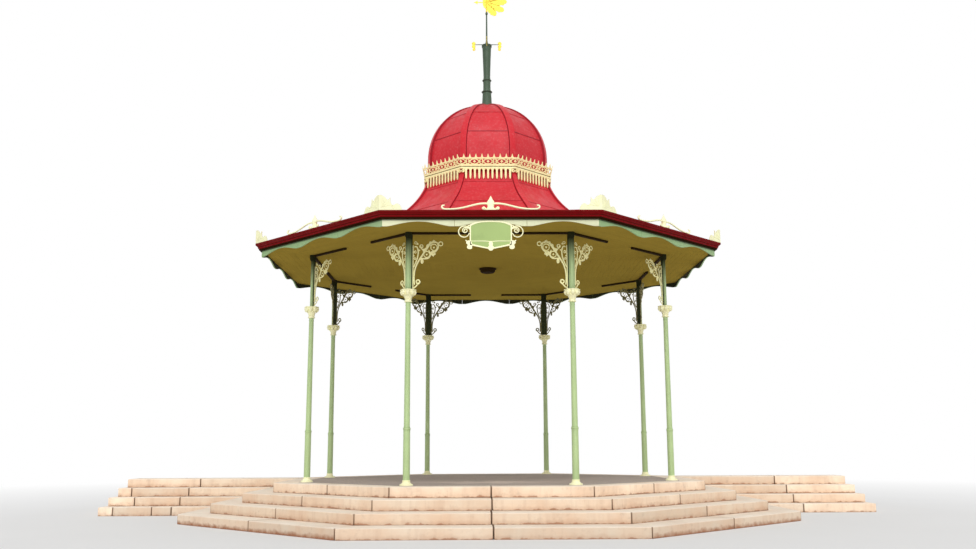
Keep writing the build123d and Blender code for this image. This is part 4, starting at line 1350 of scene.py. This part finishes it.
class BANDSTAND_OT_rolls(bpy.types.Operator):
    """Build the flat rolls over the corners of the roof, the neck and the dome"""

    bl_idname = "bandstand.rolls"
    bl_label = "Rolls"

    def execute(self, context):
        sizes = context.scene.bandstand_sizes
        proud = sizes.roll_proud
        edge = [(line, roof_over(line, sizes)) for line in (ROOF_LINE, NECK_LINE + 0.03)]
        bm = bmesh.new()
        value_layer(bm, "dark")
        self.roll(bm, edge, sizes.roll_width / 2, proud, proud)
        self.roll(bm, neck_points(), sizes.roll_width / 2, proud, proud)
        all_sides(bm)
        finish_piece("roof_rolls", bm, "red", "hip_rolls", sharp=30)
        bm = bmesh.new()
        value_layer(bm, "dark")
        self.roll(bm, dome_points(stop=0.160), sizes.roll_width * 0.65, proud * 0.5, proud * 0.25)
        all_sides(bm)
        self.crown(bm)
        finish_piece("dome_roll_strips", bm, "red", "dome_rolls", sharp=30)
        return {"FINISHED"}

    def roll(self, bm, points, half, proud, last):
        """A flat bar over a corner, thinning towards its last point: the sheet's red on top, and the dark
        seam red on its sides as painted shade.
        """
        turn = Matrix.Rotation(TURN / 2, 3, "Z")
        layer = value_layer(bm, "dark")
        spine = [(distance * SPREAD, rise) for distance, rise in points]
        rings = []
        for index, (distance, rise) in enumerate(spine):
            before = Vector(spine[max(index - 1, 0)])
            after = Vector(spine[min(index + 1, len(spine) - 1)])
            run = (after - before).normalized()
            out = Vector((run.y, -run.x))
            top = proud + (last - proud) * index / (len(spine) - 1)
            lifts = ((-1, -0.036), (-1, top * 0.8), (-0.9, top), (0.9, top), (1, top * 0.8), (1, -0.036))
            ring = []
            for across, lift in lifts:
                spot = Vector((distance, rise)) + out * lift
                ring.append(bm.verts.new(turn @ Vector((across * half, -spot.x, spot.y))))
            rings.append(ring)
        faces = []
        for first, second in zip(rings, rings[1:]):
            for step in range(6):
                other = (step + 1) % 6
                face = bm.faces.new((first[step], first[other], second[other], second[step]))
                faces.append((step, face))
        bm.faces.new(rings[0])
        bm.faces.new(list(reversed(rings[-1])))
        # Painted shade: the sides of the roll are dark.
        for vert in set_apart(bm, [face for step, face in faces if step in (0, 4)]):
            vert[layer] = 1.0

    def crown(self, bm):
        """The low cap that the rolls of the dome run into."""
        top = DOME_TOP
        profile = [(0, top), (0.144, top), (0.172, top - 0.004), (0.178, top - 0.016), (0.172, top - 0.045)]
        profile += [(0, top - 0.045)]
        cap = bmesh.new()
        turn_profile(cap, profile, 40)
        # Painted shade: the whole cap takes the dark seam red.
        mark(cap, "dark", 1.0)
        add_part(bm, cap)


# Castings on the roof
class BANDSTAND_OT_cresting(bpy.types.Operator):
    """Build the cast fence round the foot of the dome and the fringe of drops below it"""

    bl_idname = "bandstand.cresting"
    bl_label = "Cresting"

    def execute(self, context):
        line = LEDGE_LINE + 0.0183
        rail_foot = DOME_FOOT - 0.05125
        rail_tall = 0.076
        lean = radians(12.7)
        half = line * SLOPE
        bm = bmesh.new()
        value_layer(bm, "painted_shade")
        lower = bmesh.new()
        self.fringe(lower, half)
        self.put(bm, lower, on_front(line - 0.009, rail_foot))
        upper = bmesh.new()
        value_layer(upper, "painted_shade")
        self.fence(upper, half)
        self.put(bm, upper, on_front(line - 0.009, rail_foot + rail_tall, lean))
        all_sides(bm)
        finish_piece("cresting_castings", bm, "straw", "cresting")
        return {"FINISHED"}

    def put(self, bm, part, matrix):
        """Stand a drawing on the side and cut it to the corner planes."""
        part.transform(matrix)
        for hand in (1, -1):
            cut_across(part, (0, 0, 0), Vector((hand * cos(TURN / 2), sin(TURN / 2), 0)), clear=True)
        add_part(bm, part)

    def fringe(self, bm, half):
        """The double rail and its drops, joined by small arches; y is 0 at the rail's foot."""
        # Painted shade: a near-black strip set back between the two rails.
        box(bm, (0, 0.0445, -0.004), (2 * half + 0.02, 0.030, 0.010))
        mark(bm, "painted_shade", 1.0)
        box(bm, (0, 0.018, 0), (2 * half + 0.02, 0.040, 0.020), 0.004, 1)
        box(bm, (0, 0.068, 0), (2 * half + 0.02, 0.034, 0.020), 0.004, 1)
        count = 11
        pitch = 0.087
        drop = both_sides([
            (-0.022, 0.006, 1), (-0.020, -0.050), (-0.019, -0.150), (-0.014, -0.190), (0, -0.214, 1),
        ])
        web = [
            (0.016, 0.004, 1), (pitch * 0.5, 0.004, 1), (pitch * 0.5, -0.004), (0.027, -0.016),
            (0.018, -0.036, 1),
        ]
        for index in range(count):
            middle = pitch * (index - (count - 1) / 2)
            add_mesh(bm, cut_shape([shifted(drop, middle)], 0.018, 0.004, 2))
            for hand in (1, -1):
                add_mesh(bm, cut_shape([shifted(handed(web, hand), middle)], 0.012, 0.002, 2))
        for hand in (1, -1):
            curl = spiral((hand * (half - 0.040), -0.044), 0.036, 0.012, 1.4, 90, 0.012, hand=hand)
            add_mesh(bm, strokes([curl], 3))

    def fence(self, bm, half):
        """The leaning band of ovals, rosettes and spindles between two bars, with a row of pickets."""
        middle_line = 0.068
        box(bm, (0, 0.009, 0), (2 * half + 0.1, 0.018, 0.018), 0.004, 1)
        box(bm, (0, 0.134, 0), (2 * half + 0.1, 0.030, 0.020), 0.004, 1)
        pitch = half / 2
        oval = [(0.088 * cos(tau * step / 12), 0.050 * sin(tau * step / 12), 0.0110) for step in range(14)]
        rosette = both_sides([(0, 0.032, 1), (0.015, 0.014), (0.034, 0, 1), (0.015, -0.014), (0, -0.032, 1)])
        for index in range(-2, 3):
            middle = pitch * index
            add_mesh(bm, strokes([shifted(oval, middle, middle_line)], 2))
            add_mesh(bm, cut_shape([shifted(rosette, middle, middle_line)], 0.014, 0.003, 2))
            ball(bm, (middle, middle_line, 0.005), 0.014, (1, 1, 0.6), 1)
        bow = [
            (0.004, 0.018, 0.0115), (0.030, 0.036, 0.0115), (0.036, 0.058, 0.0115), (0.010, 0.068, 0.0115),
            (0.036, 0.080, 0.0115), (0.030, 0.100, 0.0115), (0.004, 0.118, 0.0115),
        ]
        for index in (-1.5, -0.5, 0.5, 1.5):
            for hand in (1, -1):
                add_mesh(bm, strokes([shifted(handed(bow, hand), pitch * index)], 3))
        count = 9
        pitch = 0.12
        picket = both_sides([
            (-0.034, 0.142, 1), (-0.024, 0.158), (-0.014, 0.180), (-0.008, 0.204), (0, 0.226, 1),
        ])
        for index in range(count):
            add_mesh(bm, cut_shape([shifted(picket, pitch * (index - (count - 1) / 2))], 0.016, 0.004, 2))


class BANDSTAND_OT_corner_ornaments(bpy.types.Operator):
    """Build the shell-shaped castings folded round the corners of the gutter"""

    bl_idname = "bandstand.corner_ornaments"
    bl_label = "Corner ornaments"

    def execute(self, context):
        node_low, node_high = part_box("corner_ornaments")
        line = -node_low.y
        tall = node_high.z - node_low.z
        long = 0.375
        half = line * SLOPE
        shell = [
            (0.0, 0.0, 1), (0.0, 0.97, 1), (0.05, 1.0), (0.11, 0.99), (0.19, 0.93), (0.28, 0.83),
            (0.37, 0.69), (0.42, 0.70), (0.50, 0.84, 1), (0.515, 0.55), (0.56, 0.39), (0.62, 0.33),
            (0.70, 0.38), (0.79, 0.43), (0.89, 0.36), (0.96, 0.22), (1.02, 0.0, 1),
        ]
        outline = [(half - long * along, tall * up, *sharp) for along, up, *sharp in reversed(shell)]
        across, up = half - 0.040, 0.045
        rib = ((0, 0.006), (0.5, 0.010), (1, 0.006))
        lines = [spiral((half - 0.235, 0.052), 0.032, 0.010, 1.3, 30, 0.008)]
        for degrees, reach in ((100, 0.155), (122, 0.160), (144, 0.150), (164, 0.170)):
            run, rise = reach * cos(radians(degrees)), reach * sin(radians(degrees))
            lines.append([(across + run * part, up + rise * part, bar) for part, bar in rib])
        bm = bmesh.new()
        for hand in (1, -1):
            mesh = cut_shape([handed(outline, hand)[::hand]], 0.020, 0.004)
            add_mesh(bm, mesh, on_front(line - 0.010, node_low.z))
            mesh = strokes([handed(path, hand) for path in lines], 3)
            add_mesh(bm, mesh, on_front(line - 0.002, node_low.z))
        # Painted shade: slightly darker at the front, darker behind.
        painted_shade = value_layer(bm, "painted_shade")
        for vert in bm.verts:
            vert[painted_shade] = 0.10 if vert.co.y < -line + 0.001 else 0.22
        all_sides(bm)
        finish_piece("corner_shells", bm, "cream", "corner_ornaments")
        return {"FINISHED"}


class BANDSTAND_OT_side_ornaments(bpy.types.Operator):
    """Build the bud between two scrolls on each side, and the long curved rails beside it"""

    bl_idname = "bandstand.side_ornaments"
    bl_label = "Side ornaments"

    def execute(self, context):
        node_low = low("side_ornaments")
        line = -node_low.y
        bm = bmesh.new()
        art = bmesh.new()
        bud = [
            (0, 0), (0.095, 0), (0.098, 0.016), (0.066, 0.036), (0.050, 0.058), (0.056, 0.085),
            (0.062, 0.120), (0.058, 0.148), (0.044, 0.170), (0.030, 0.188), (0.018, 0.214), (0, 0.250),
        ]
        turned = bmesh.new()
        turn_profile(turned, bud, 20)
        turned.transform(Matrix.Rotation(-pi / 2, 4, "X") @ Matrix.Diagonal((1, 0.6, 1, 1)))
        add_part(art, turned)
        scroll = spiral((0.106, 0.030), 0.036, 0.012, 1.3, 100, 0.014, hand=-1)
        volute = [(x, 0.030 + (y - 0.030) * 0.62, bar) for x, y, bar in scroll]
        rail = [
            (0.030, 0.112, 0.016), (0.120, 0.116, 0.016), (0.220, 0.102, 0.016), (0.330, 0.074, 0.016),
            (0.450, 0.042, 0.016), (0.580, 0.020, 0.016), (0.700, 0.016, 0.016), (0.772, 0.020, 0.016),
            (0.802, 0.050, 0.015), (0.790, 0.086, 0.014), (0.752, 0.084, 0.012),
        ]
        for hand in (1, -1):
            paths = [handed(volute, hand), handed(rail, hand)]
            add_mesh(art, strokes(paths), Matrix.Translation((0, 0, 0.020)))
        add_part(bm, art, on_front(line - 0.044, GUTTER_TOP))
        all_sides(bm)
        finish_piece("gutter_buds", bm, "cream", "side_ornaments")
        return {"FINISHED"}


# Plaque
class BANDSTAND_OT_plaque(bpy.types.Operator):
    """Build the bare plaque under the front gutter: a green board in a cast cream border"""

    bl_idname = "bandstand.plaque"
    bl_label = "Plaque"

    def execute(self, context):
        board_low, board_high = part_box("plaque_board")
        frame_low = low("plaque_frame")
        half = board_high.x
        top = board_high.z - 0.073
        foot = board_low.z + 0.059
        bm = bmesh.new()
        value_layer(bm, "tone")
        panel = cut_shape([self.outline(half, top, foot, 0.0)], 0.014, 0.001)
        add_mesh(bm, panel, on_front(BOARD_LINE + 0.007, 0))
        finish_piece("plaque_panel", bm, "plaque", "plaque_board")
        bm = bmesh.new()
        border = 0.022
        rim = [self.outline(half, top, foot, border), self.outline(half, top, foot, 0.0)]
        add_mesh(bm, cut_shape(rim, 0.022, 0.005))
        across = foot + 0.045
        details = [
            [
                (-half, across, 0.007), (-half * 0.3, across + 0.004, 0.008), (0, across - 0.012, 0.009),
                (half * 0.3, across + 0.004, 0.008), (half, across, 0.007),
            ],
        ]
        for hand in (1, -1):
            edge = half + border
            scroll = spiral((edge + 0.088, top - 0.100), 0.106, 0.084, 0.92, 165, 0.011, hand=-1, steps=14)
            inner = spiral((edge + 0.072, top - 0.074), 0.058, 0.014, 1.6, 150, 0.010, hand=-1)
            small = spiral((edge + 0.008, top - 0.010), 0.026, 0.010, 1.2, -60, 0.009, hand=1)
            tie = [
                (edge - 0.01, foot + 0.024, 0.010), (edge + 0.04, foot + 0.030, 0.010),
                (edge + 0.066, foot + 0.062, 0.010),
            ]
            details += [handed(path, hand) for path in (scroll, inner, small, tie)]
            toe = [
                (edge - 0.036, foot + 0.020, 1), (edge - 0.042, foot - 0.052), (edge - 0.034, foot - 0.080),
                (edge + 0.030, foot - 0.080), (edge + 0.045, foot - 0.056), (edge + 0.036, foot - 0.014),
                (edge + 0.060, foot + 0.016), (edge + 0.030, foot + 0.054), (edge - 0.010, foot + 0.050),
            ]
            add_mesh(bm, cut_shape([handed(toe, hand)[::hand]], 0.022, 0.005))
        add_mesh(bm, strokes(details))
        leaf = [
            (0, foot - 0.135, 1), (0.040, foot - 0.090), (0.055, foot - 0.062), (0.030, foot - 0.030),
            (0.036, foot + 0.005), (0, foot + 0.052, 1),
        ]
        add_mesh(bm, cut_shape([both_sides(leaf)], 0.024, 0.008))
        bm.transform(on_front(BOARD_LINE + 0.012, 0))
        for vert in bm.verts:
            vert.co.z = max(vert.co.z, frame_low.z)
        finish_piece("plaque_border", bm, "cream", "plaque_frame")
        return {"FINISHED"}

    def outline(self, half, top, foot, border):
        """The plaque's outline: a flat-crowned arch above and two slopes that meet in a point below."""
        side = half + border
        return [
            (side, top + border, 1), (side * 0.72, top + 0.040 + border), (side * 0.40, top + 0.058 + border),
            (-side * 0.40, top + 0.058 + border), (-side * 0.72, top + 0.040 + border),
            (-side, top + border, 1), (-side, foot - border, 1), (0, foot - 0.072 - border, 1),
            (side, foot - border, 1),
        ]


# Finial and weather vane
class BANDSTAND_OT_finial(bpy.types.Operator):
    """Build the turned post on the crown, the compass arms with gilt scrolls, and the rod above them"""

    bl_idname = "bandstand.finial"
    bl_label = "Finial"

    def execute(self, context):
        foot, top = low("finial_post").z, high("finial_post").z
        profile = [(0, 0), (0.150, 0), (0.150, 0.014), (0.143, 0.030), (0.120, 0.040), (0.112, 0.058)]
        profile += [(0.105, 0.085), (0.098, 0.20), (0.092, 0.315)]
        profile += bead(0.090, 0.330, 0.030, 0.026)
        profile += [(0.090, 0.368), (0.080, 0.395), (0.078, 0.50), (0.080, 0.565)]
        profile += bead(0.080, 0.592, 0.026, 0.020)
        profile += [(0.079, 0.630), (0.072, 0.68), (0.084, 1.08), (0.088, 1.16), (0.092, 1.30)]
        height = top - foot
        profile = [(reach, rise) for reach, rise in profile if rise < height - 0.10]
        profile += [(0.094, height - 0.085), (0.099, height - 0.055)]
        profile += bead(0.100, height - 0.046, 0.022, 0.010)
        profile += [(0.100, height - 0.020), (0.108, height - 0.012), (0.108, height), (0, height)]
        bm = bmesh.new()
        turn_profile(bm, [(reach, foot + rise) for reach, rise in profile], 40)
        finish_piece("finial_turning", bm, "verdigris", "finial_post")
        self.rod()
        self.arms()
        return {"FINISHED"}

    def rod(self):
        """The tapering rod with a bead under the vane, and the ball on its end."""
        foot, end = low("vane_spindle").z, high("vane_spindle").z
        shoulder = VANE_SEAT
        wide = high("vane_spindle").x
        profile = [(0, foot), (wide, foot), (wide * 0.98, foot + 0.05), (wide * 0.8, foot + 0.07)]
        profile += [(wide * 0.62, foot + 0.11), (wide * 0.50, shoulder - 0.075)]
        profile += bead(wide * 0.45, shoulder - 0.058, 0.052, wide * 0.5)
        profile += [(0.019, shoulder), (0.0108, shoulder), (0.0108, end), (0, end)]
        bm = bmesh.new()
        turn_profile(bm, profile, 24)
        finish_piece("vane_rod", bm, "verdigris", "vane_spindle")
        bm = bmesh.new()
        cap_low, cap_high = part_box("spindle_cap")
        radius = cap_high.x
        profile = [(0, 0), (radius * 0.5, 0), (radius * 0.62, radius * 0.18)]
        profile += bead(radius * 0.62, radius * 0.2, radius * 1.5, radius * 0.38, 8)
        profile += [(radius * 0.22, radius * 2.0), (0, cap_high.z - cap_low.z)]
        turn_profile(bm, [(reach, cap_low.z + rise) for reach, rise in profile], 24)
        finish_piece("rod_ball", bm, "gilt", "spindle_cap")

    def arms(self):
        """Four arms on a hub, and the gilt scroll at the end of each."""
        hub = high("finial_post").z
        rise = hub + 0.015
        reach = 0.280
        upright = Matrix.Rotation(pi / 2, 4, "X")
        ring = [
            (0.030, hub + 0.001), (0.058, hub + 0.001), (0.061, hub + 0.010), (0.058, hub + 0.022),
            (0.034, hub + 0.030), (0.030, hub + 0.030),
        ]
        bm = bmesh.new()
        turn_profile(bm, ring, 32)
        for index in range(4):
            turn = Matrix.Rotation(pi / 2 * index, 4, "Z")
            mesh = strokes([[(0.030, 0, 0.010), (0.16, 0.004, 0.008), (reach, 0, 0.007)]], 3)
            add_mesh(bm, mesh, turn @ Matrix.Translation((0, 0, rise)) @ upright)
        finish_piece("compass_rods", bm, "verdigris", "compass_arms")
        scrolls = [
            spiral((-0.004, 0.026), 0.040, 0.014, 1.3, -90, 0.013),
            spiral((-0.004, -0.044), 0.040, 0.012, 1.4, 90, 0.013, hand=-1),
            spiral((0.0, -0.110), 0.030, 0.010, 1.3, 95, 0.012),
        ]
        leaf = both_sides([(0, 0.075, 1), (0.020, 0.02), (0.016, -0.085), (0, -0.145, 1)])
        bm = bmesh.new()
        for index in range(4):
            end = Matrix.Rotation(pi / 2 * index, 4, "Z") @ Matrix.Translation((reach, 0, rise)) @ upright
            add_mesh(bm, strokes(scrolls), end @ Matrix.Diagonal((1, 1, 0.4, 1)))
            add_mesh(bm, cut_shape([leaf], 0.010, 0.003), end)
        foot = low("compass_arms").z
        for vert in bm.verts:
            vert.co.z = max(vert.co.z, foot)
        finish_piece("compass_scrolls", bm, "gilt", "compass_arms")


class BANDSTAND_OT_weather_vane(bpy.types.Operator):
    """Build the gilt weather vane: an arrow's nose, a tube and a tail of plumes"""

    bl_idname = "bandstand.weather_vane"
    bl_label = "Weather vane"

    def execute(self, context):
        clearance = 0.0003
        foot = VANE_SEAT + clearance
        hub = 0.520
        height = foot + hub * 0.45
        bm = bmesh.new()
        bore = 0.0112
        sleeve = [
            (bore, foot + 0.001), (0.018, foot + 0.001), (0.020, foot + 0.010), (0.016, foot + 0.03),
            (0.016, foot + hub - 0.03), (0.020, foot + hub - 0.01), (0.018, foot + hub), (bore, foot + hub),
            (bore, foot + 0.001),
        ]
        turn_profile(bm, sleeve, 24)
        art = bmesh.new()
        nose = [
            (-0.016, -0.012, 1), (-0.190, -0.010), (-0.196, -0.044, 1), (-0.240, -0.016), (-0.279, 0, 1),
            (-0.240, 0.016), (-0.196, 0.044, 1), (-0.190, 0.010), (-0.016, 0.012, 1),
        ]
        add_mesh(art, cut_shape([nose], 0.010, 0.003))
        root = 0.012
        plume = [
            (0, -0.012, 1), (0.20, -0.050), (0.45, -0.082), (0.62, -0.094, 1), (0.66, -0.078),
            (0.82, -0.080, 1), (0.86, -0.056), (0.95, -0.040, 1), (1.0, 0.0), (0.93, 0.046),
            (0.82, 0.066, 1), (0.78, 0.058), (0.62, 0.078, 1), (0.50, 0.066), (0.25, 0.046), (0, 0.012, 1),
        ]
        for turn, share in ((62, 0.78), (32, 0.96), (2, 1.0), (-28, 0.96), (-58, 0.82)):
            reach = (high("weather_vane").x - 0.003) * share
            outline = [(root + (reach - root) * along, y, *sharp) for along, y, *sharp in plume]
            add_mesh(art, cut_shape([outline], 0.010, 0.003), Matrix.Rotation(radians(turn), 4, "Z"))
            spine = [(0.02, 0, 0.007), (reach * 0.5, -0.006, 0.006), (reach * 0.95, 0.0, 0.003)]
            add_mesh(art, strokes([spine], 3), Matrix.Rotation(radians(turn), 4, "Z"))
        crest = [
            (-0.0165, -0.150, 1), (-0.044, -0.128), (-0.074, -0.070), (-0.084, 0.0), (-0.072, 0.080),
            (-0.044, 0.140), (-0.0165, 0.160, 1),
        ]
        add_mesh(art, cut_shape([crest], 0.010, 0.003))
        body = [
            (0.0165, 0.190, 1), (0.090, 0.165), (0.150, 0.110), (0.180, 0.0), (0.150, -0.110),
            (0.090, -0.165), (0.0165, -0.190, 1),
        ]
        add_mesh(art, cut_shape([body], 0.008, 0.002))
        art.transform(Matrix.Translation((0, 0, height)) @ Matrix.Rotation(pi / 2, 4, "X"))
        add_part(bm, art)
        finish_piece("vane_blade", bm, "gilt", "weather_vane", body="vane")
        return {"FINISHED"}


# Stage
class BANDSTAND_OT_stage(bpy.types.Operator):
    """Set the floor, the light and the camera"""

    bl_idname = "bandstand.stage"
    bl_label = "Stage"

    def execute(self, context):
        scene = context.scene
        scene.view_settings.view_transform = "Standard"
        self.floor(context)
        self.world(scene)
        self.lamps()
        self.camera(scene)
        return {"FINISHED"}

    def floor(self, context):
        """A wide pale floor that turns to plain white far from the object."""
        radius = 150
        fade_start, fade_end = 9.0, 24.0
        bm = bmesh.new()
        bmesh.ops.create_circle(bm, cap_ends=True, segments=96, radius=radius)
        mesh = bpy.data.meshes.new("floor")
        bm.to_mesh(mesh)
        bm.free()
        finish = Finish("plain_floor", roughness=0.9, specular=0.1)
        ground = context.scene.bandstand_paint.ground
        finish.done(finish.mix(finish.ramp(finish.noise(0.4, 2), 0.3, 0.7, 0, 0.06), ground, (0.6, 0.6, 0.6)))
        glow = finish.node("ShaderNodeEmission", {"Color": (1, 1, 1, 1), "Strength": 1.0})
        away = finish.node("ShaderNodeVectorMath", {0: finish.place}, operation="LENGTH").outputs["Value"]
        path = finish.node("ShaderNodeLightPath")
        seen = finish.math("MAXIMUM", path.outputs["Is Camera Ray"], path.outputs["Is Glossy Ray"])
        far = finish.math("MULTIPLY", finish.ramp(away, fade_start, fade_end), seen)
        blend = finish.node("ShaderNodeMixShader", {0: far, 1: finish.shader.outputs[0], 2: glow.outputs[0]})
        finish.tree.links.new(blend.outputs[0], finish.tree.nodes["Material Output"].inputs["Surface"])
        mesh.materials.append(finish.material)
        floor = bpy.data.objects.new("floor", mesh)
        context.scene.collection.objects.link(floor)

    def world(self, scene):
        """Even light from all round, and a white background."""
        world = bpy.data.worlds.new("soft_sky")
        scene.world = world
        world.use_nodes = True
        nodes, links = world.node_tree.nodes, world.node_tree.links
        sky = nodes["Background"]
        sky.inputs["Color"].default_value = (1.0, 1.0, 1.0, 1)
        sky.inputs["Strength"].default_value = 0.62
        white = nodes.new("ShaderNodeBackground")
        white.inputs["Color"].default_value = (1.0, 1.0, 1.0, 1)
        white.inputs["Strength"].default_value = 1.0
        path = nodes.new("ShaderNodeLightPath")
        either = nodes.new("ShaderNodeMath")
        either.operation = "MAXIMUM"
        links.new(path.outputs["Is Camera Ray"], either.inputs[0])
        links.new(path.outputs["Is Glossy Ray"], either.inputs[1])
        blend = nodes.new("ShaderNodeMixShader")
        links.new(either.outputs[0], blend.inputs[0])
        links.new(sky.outputs[0], blend.inputs[1])
        links.new(white.outputs[0], blend.inputs[2])
        links.new(blend.outputs[0], nodes["World Output"].inputs["Surface"])

    def lamps(self):
        """Two broad soft lights from the front: one high up, and one low that reaches under the roof.

        Each has its strength, its spread, its tilt from straight down and its turn, in degrees.
        """
        suns = (("soft_sun", 1.25, 35, 44, 6), ("low_light", 0.8, 40, 80, -4))
        for name, energy, spread, tilt, turn in suns:
            light = bpy.data.lights.new(name, "SUN")
            light.energy = energy
            light.angle = radians(spread)
            lamp = bpy.data.objects.new(name, light)
            lamp.rotation_euler = (radians(tilt), 0, radians(turn))
            bpy.context.scene.collection.objects.link(lamp)

    def camera(self, scene):
        """The photograph's view, solved from the columns and the steps."""
        place = Vector((-0.2403, -19.469, 1.2828))
        yaw, pitch, roll = 0.01261, 0.18017, -0.0046
        data = bpy.data.cameras.new("view")
        data.sensor_fit = "HORIZONTAL"
        data.sensor_width = 36
        data.lens = 35.163
        data.clip_end = 500
        camera = bpy.data.objects.new("view", data)
        turn = Matrix.Rotation(-yaw, 4, "Z") @ Matrix.Rotation(pi / 2 + pitch, 4, "X")
        camera.matrix_world = Matrix.Translation(place) @ (turn @ Matrix.Rotation(roll, 4, "Z"))
        scene.collection.objects.link(camera)
        scene.camera = camera


STEPS = (
    BANDSTAND_OT_stage,
    BANDSTAND_OT_step_courses,
    BANDSTAND_OT_kerb,
    BANDSTAND_OT_side_steps,
    BANDSTAND_OT_floor,
    BANDSTAND_OT_columns,
    BANDSTAND_OT_brackets,
    BANDSTAND_OT_arms,
    BANDSTAND_OT_ceiling,
    BANDSTAND_OT_valance,
    BANDSTAND_OT_gutter,
    BANDSTAND_OT_low_roof,
    BANDSTAND_OT_neck_and_dome,
    BANDSTAND_OT_rolls,
    BANDSTAND_OT_cresting,
    BANDSTAND_OT_corner_ornaments,
    BANDSTAND_OT_side_ornaments,
    BANDSTAND_OT_plaque,
    BANDSTAND_OT_finial,
    BANDSTAND_OT_weather_vane,
)


class BANDSTAND_PT_build(bpy.types.Panel):
    """Lists the steps that build the bandstand"""

    bl_idname = "BANDSTAND_PT_build"
    bl_label = "Bandstand"
    bl_space_type = "VIEW_3D"
    bl_region_type = "UI"
    bl_category = "Bandstand"

    def draw(self, context):
        """List the choices and the steps."""
        for group in (context.scene.bandstand_sizes, context.scene.bandstand_paint):
            column = self.layout.column(align=True)
            for name in group.bl_rna.properties.keys()[2:]:
                column.prop(group, name)
        for step in STEPS:
            self.layout.operator(step.bl_idname)


CLASSES = (BandstandPaint, BandstandSizes, *STEPS, BANDSTAND_PT_build)


def register():
    """Register the add-on's classes and choices."""
    for kind in CLASSES:
        bpy.utils.register_class(kind)
    bpy.types.Scene.bandstand_paint = bpy.props.PointerProperty(type=BandstandPaint)
    bpy.types.Scene.bandstand_sizes = bpy.props.PointerProperty(type=BandstandSizes)


def unregister():
    """Take the add-on's classes and choices away."""
    del bpy.types.Scene.bandstand_sizes
    del bpy.types.Scene.bandstand_paint
    for kind in reversed(CLASSES):
        bpy.utils.unregister_class(kind)


def main():
    """Build every piece."""
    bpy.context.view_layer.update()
    register()
    for step in STEPS:
        group, name = step.bl_idname.split(".")
        getattr(getattr(bpy.ops, group), name)()


if __name__ == "__main__":
    main()
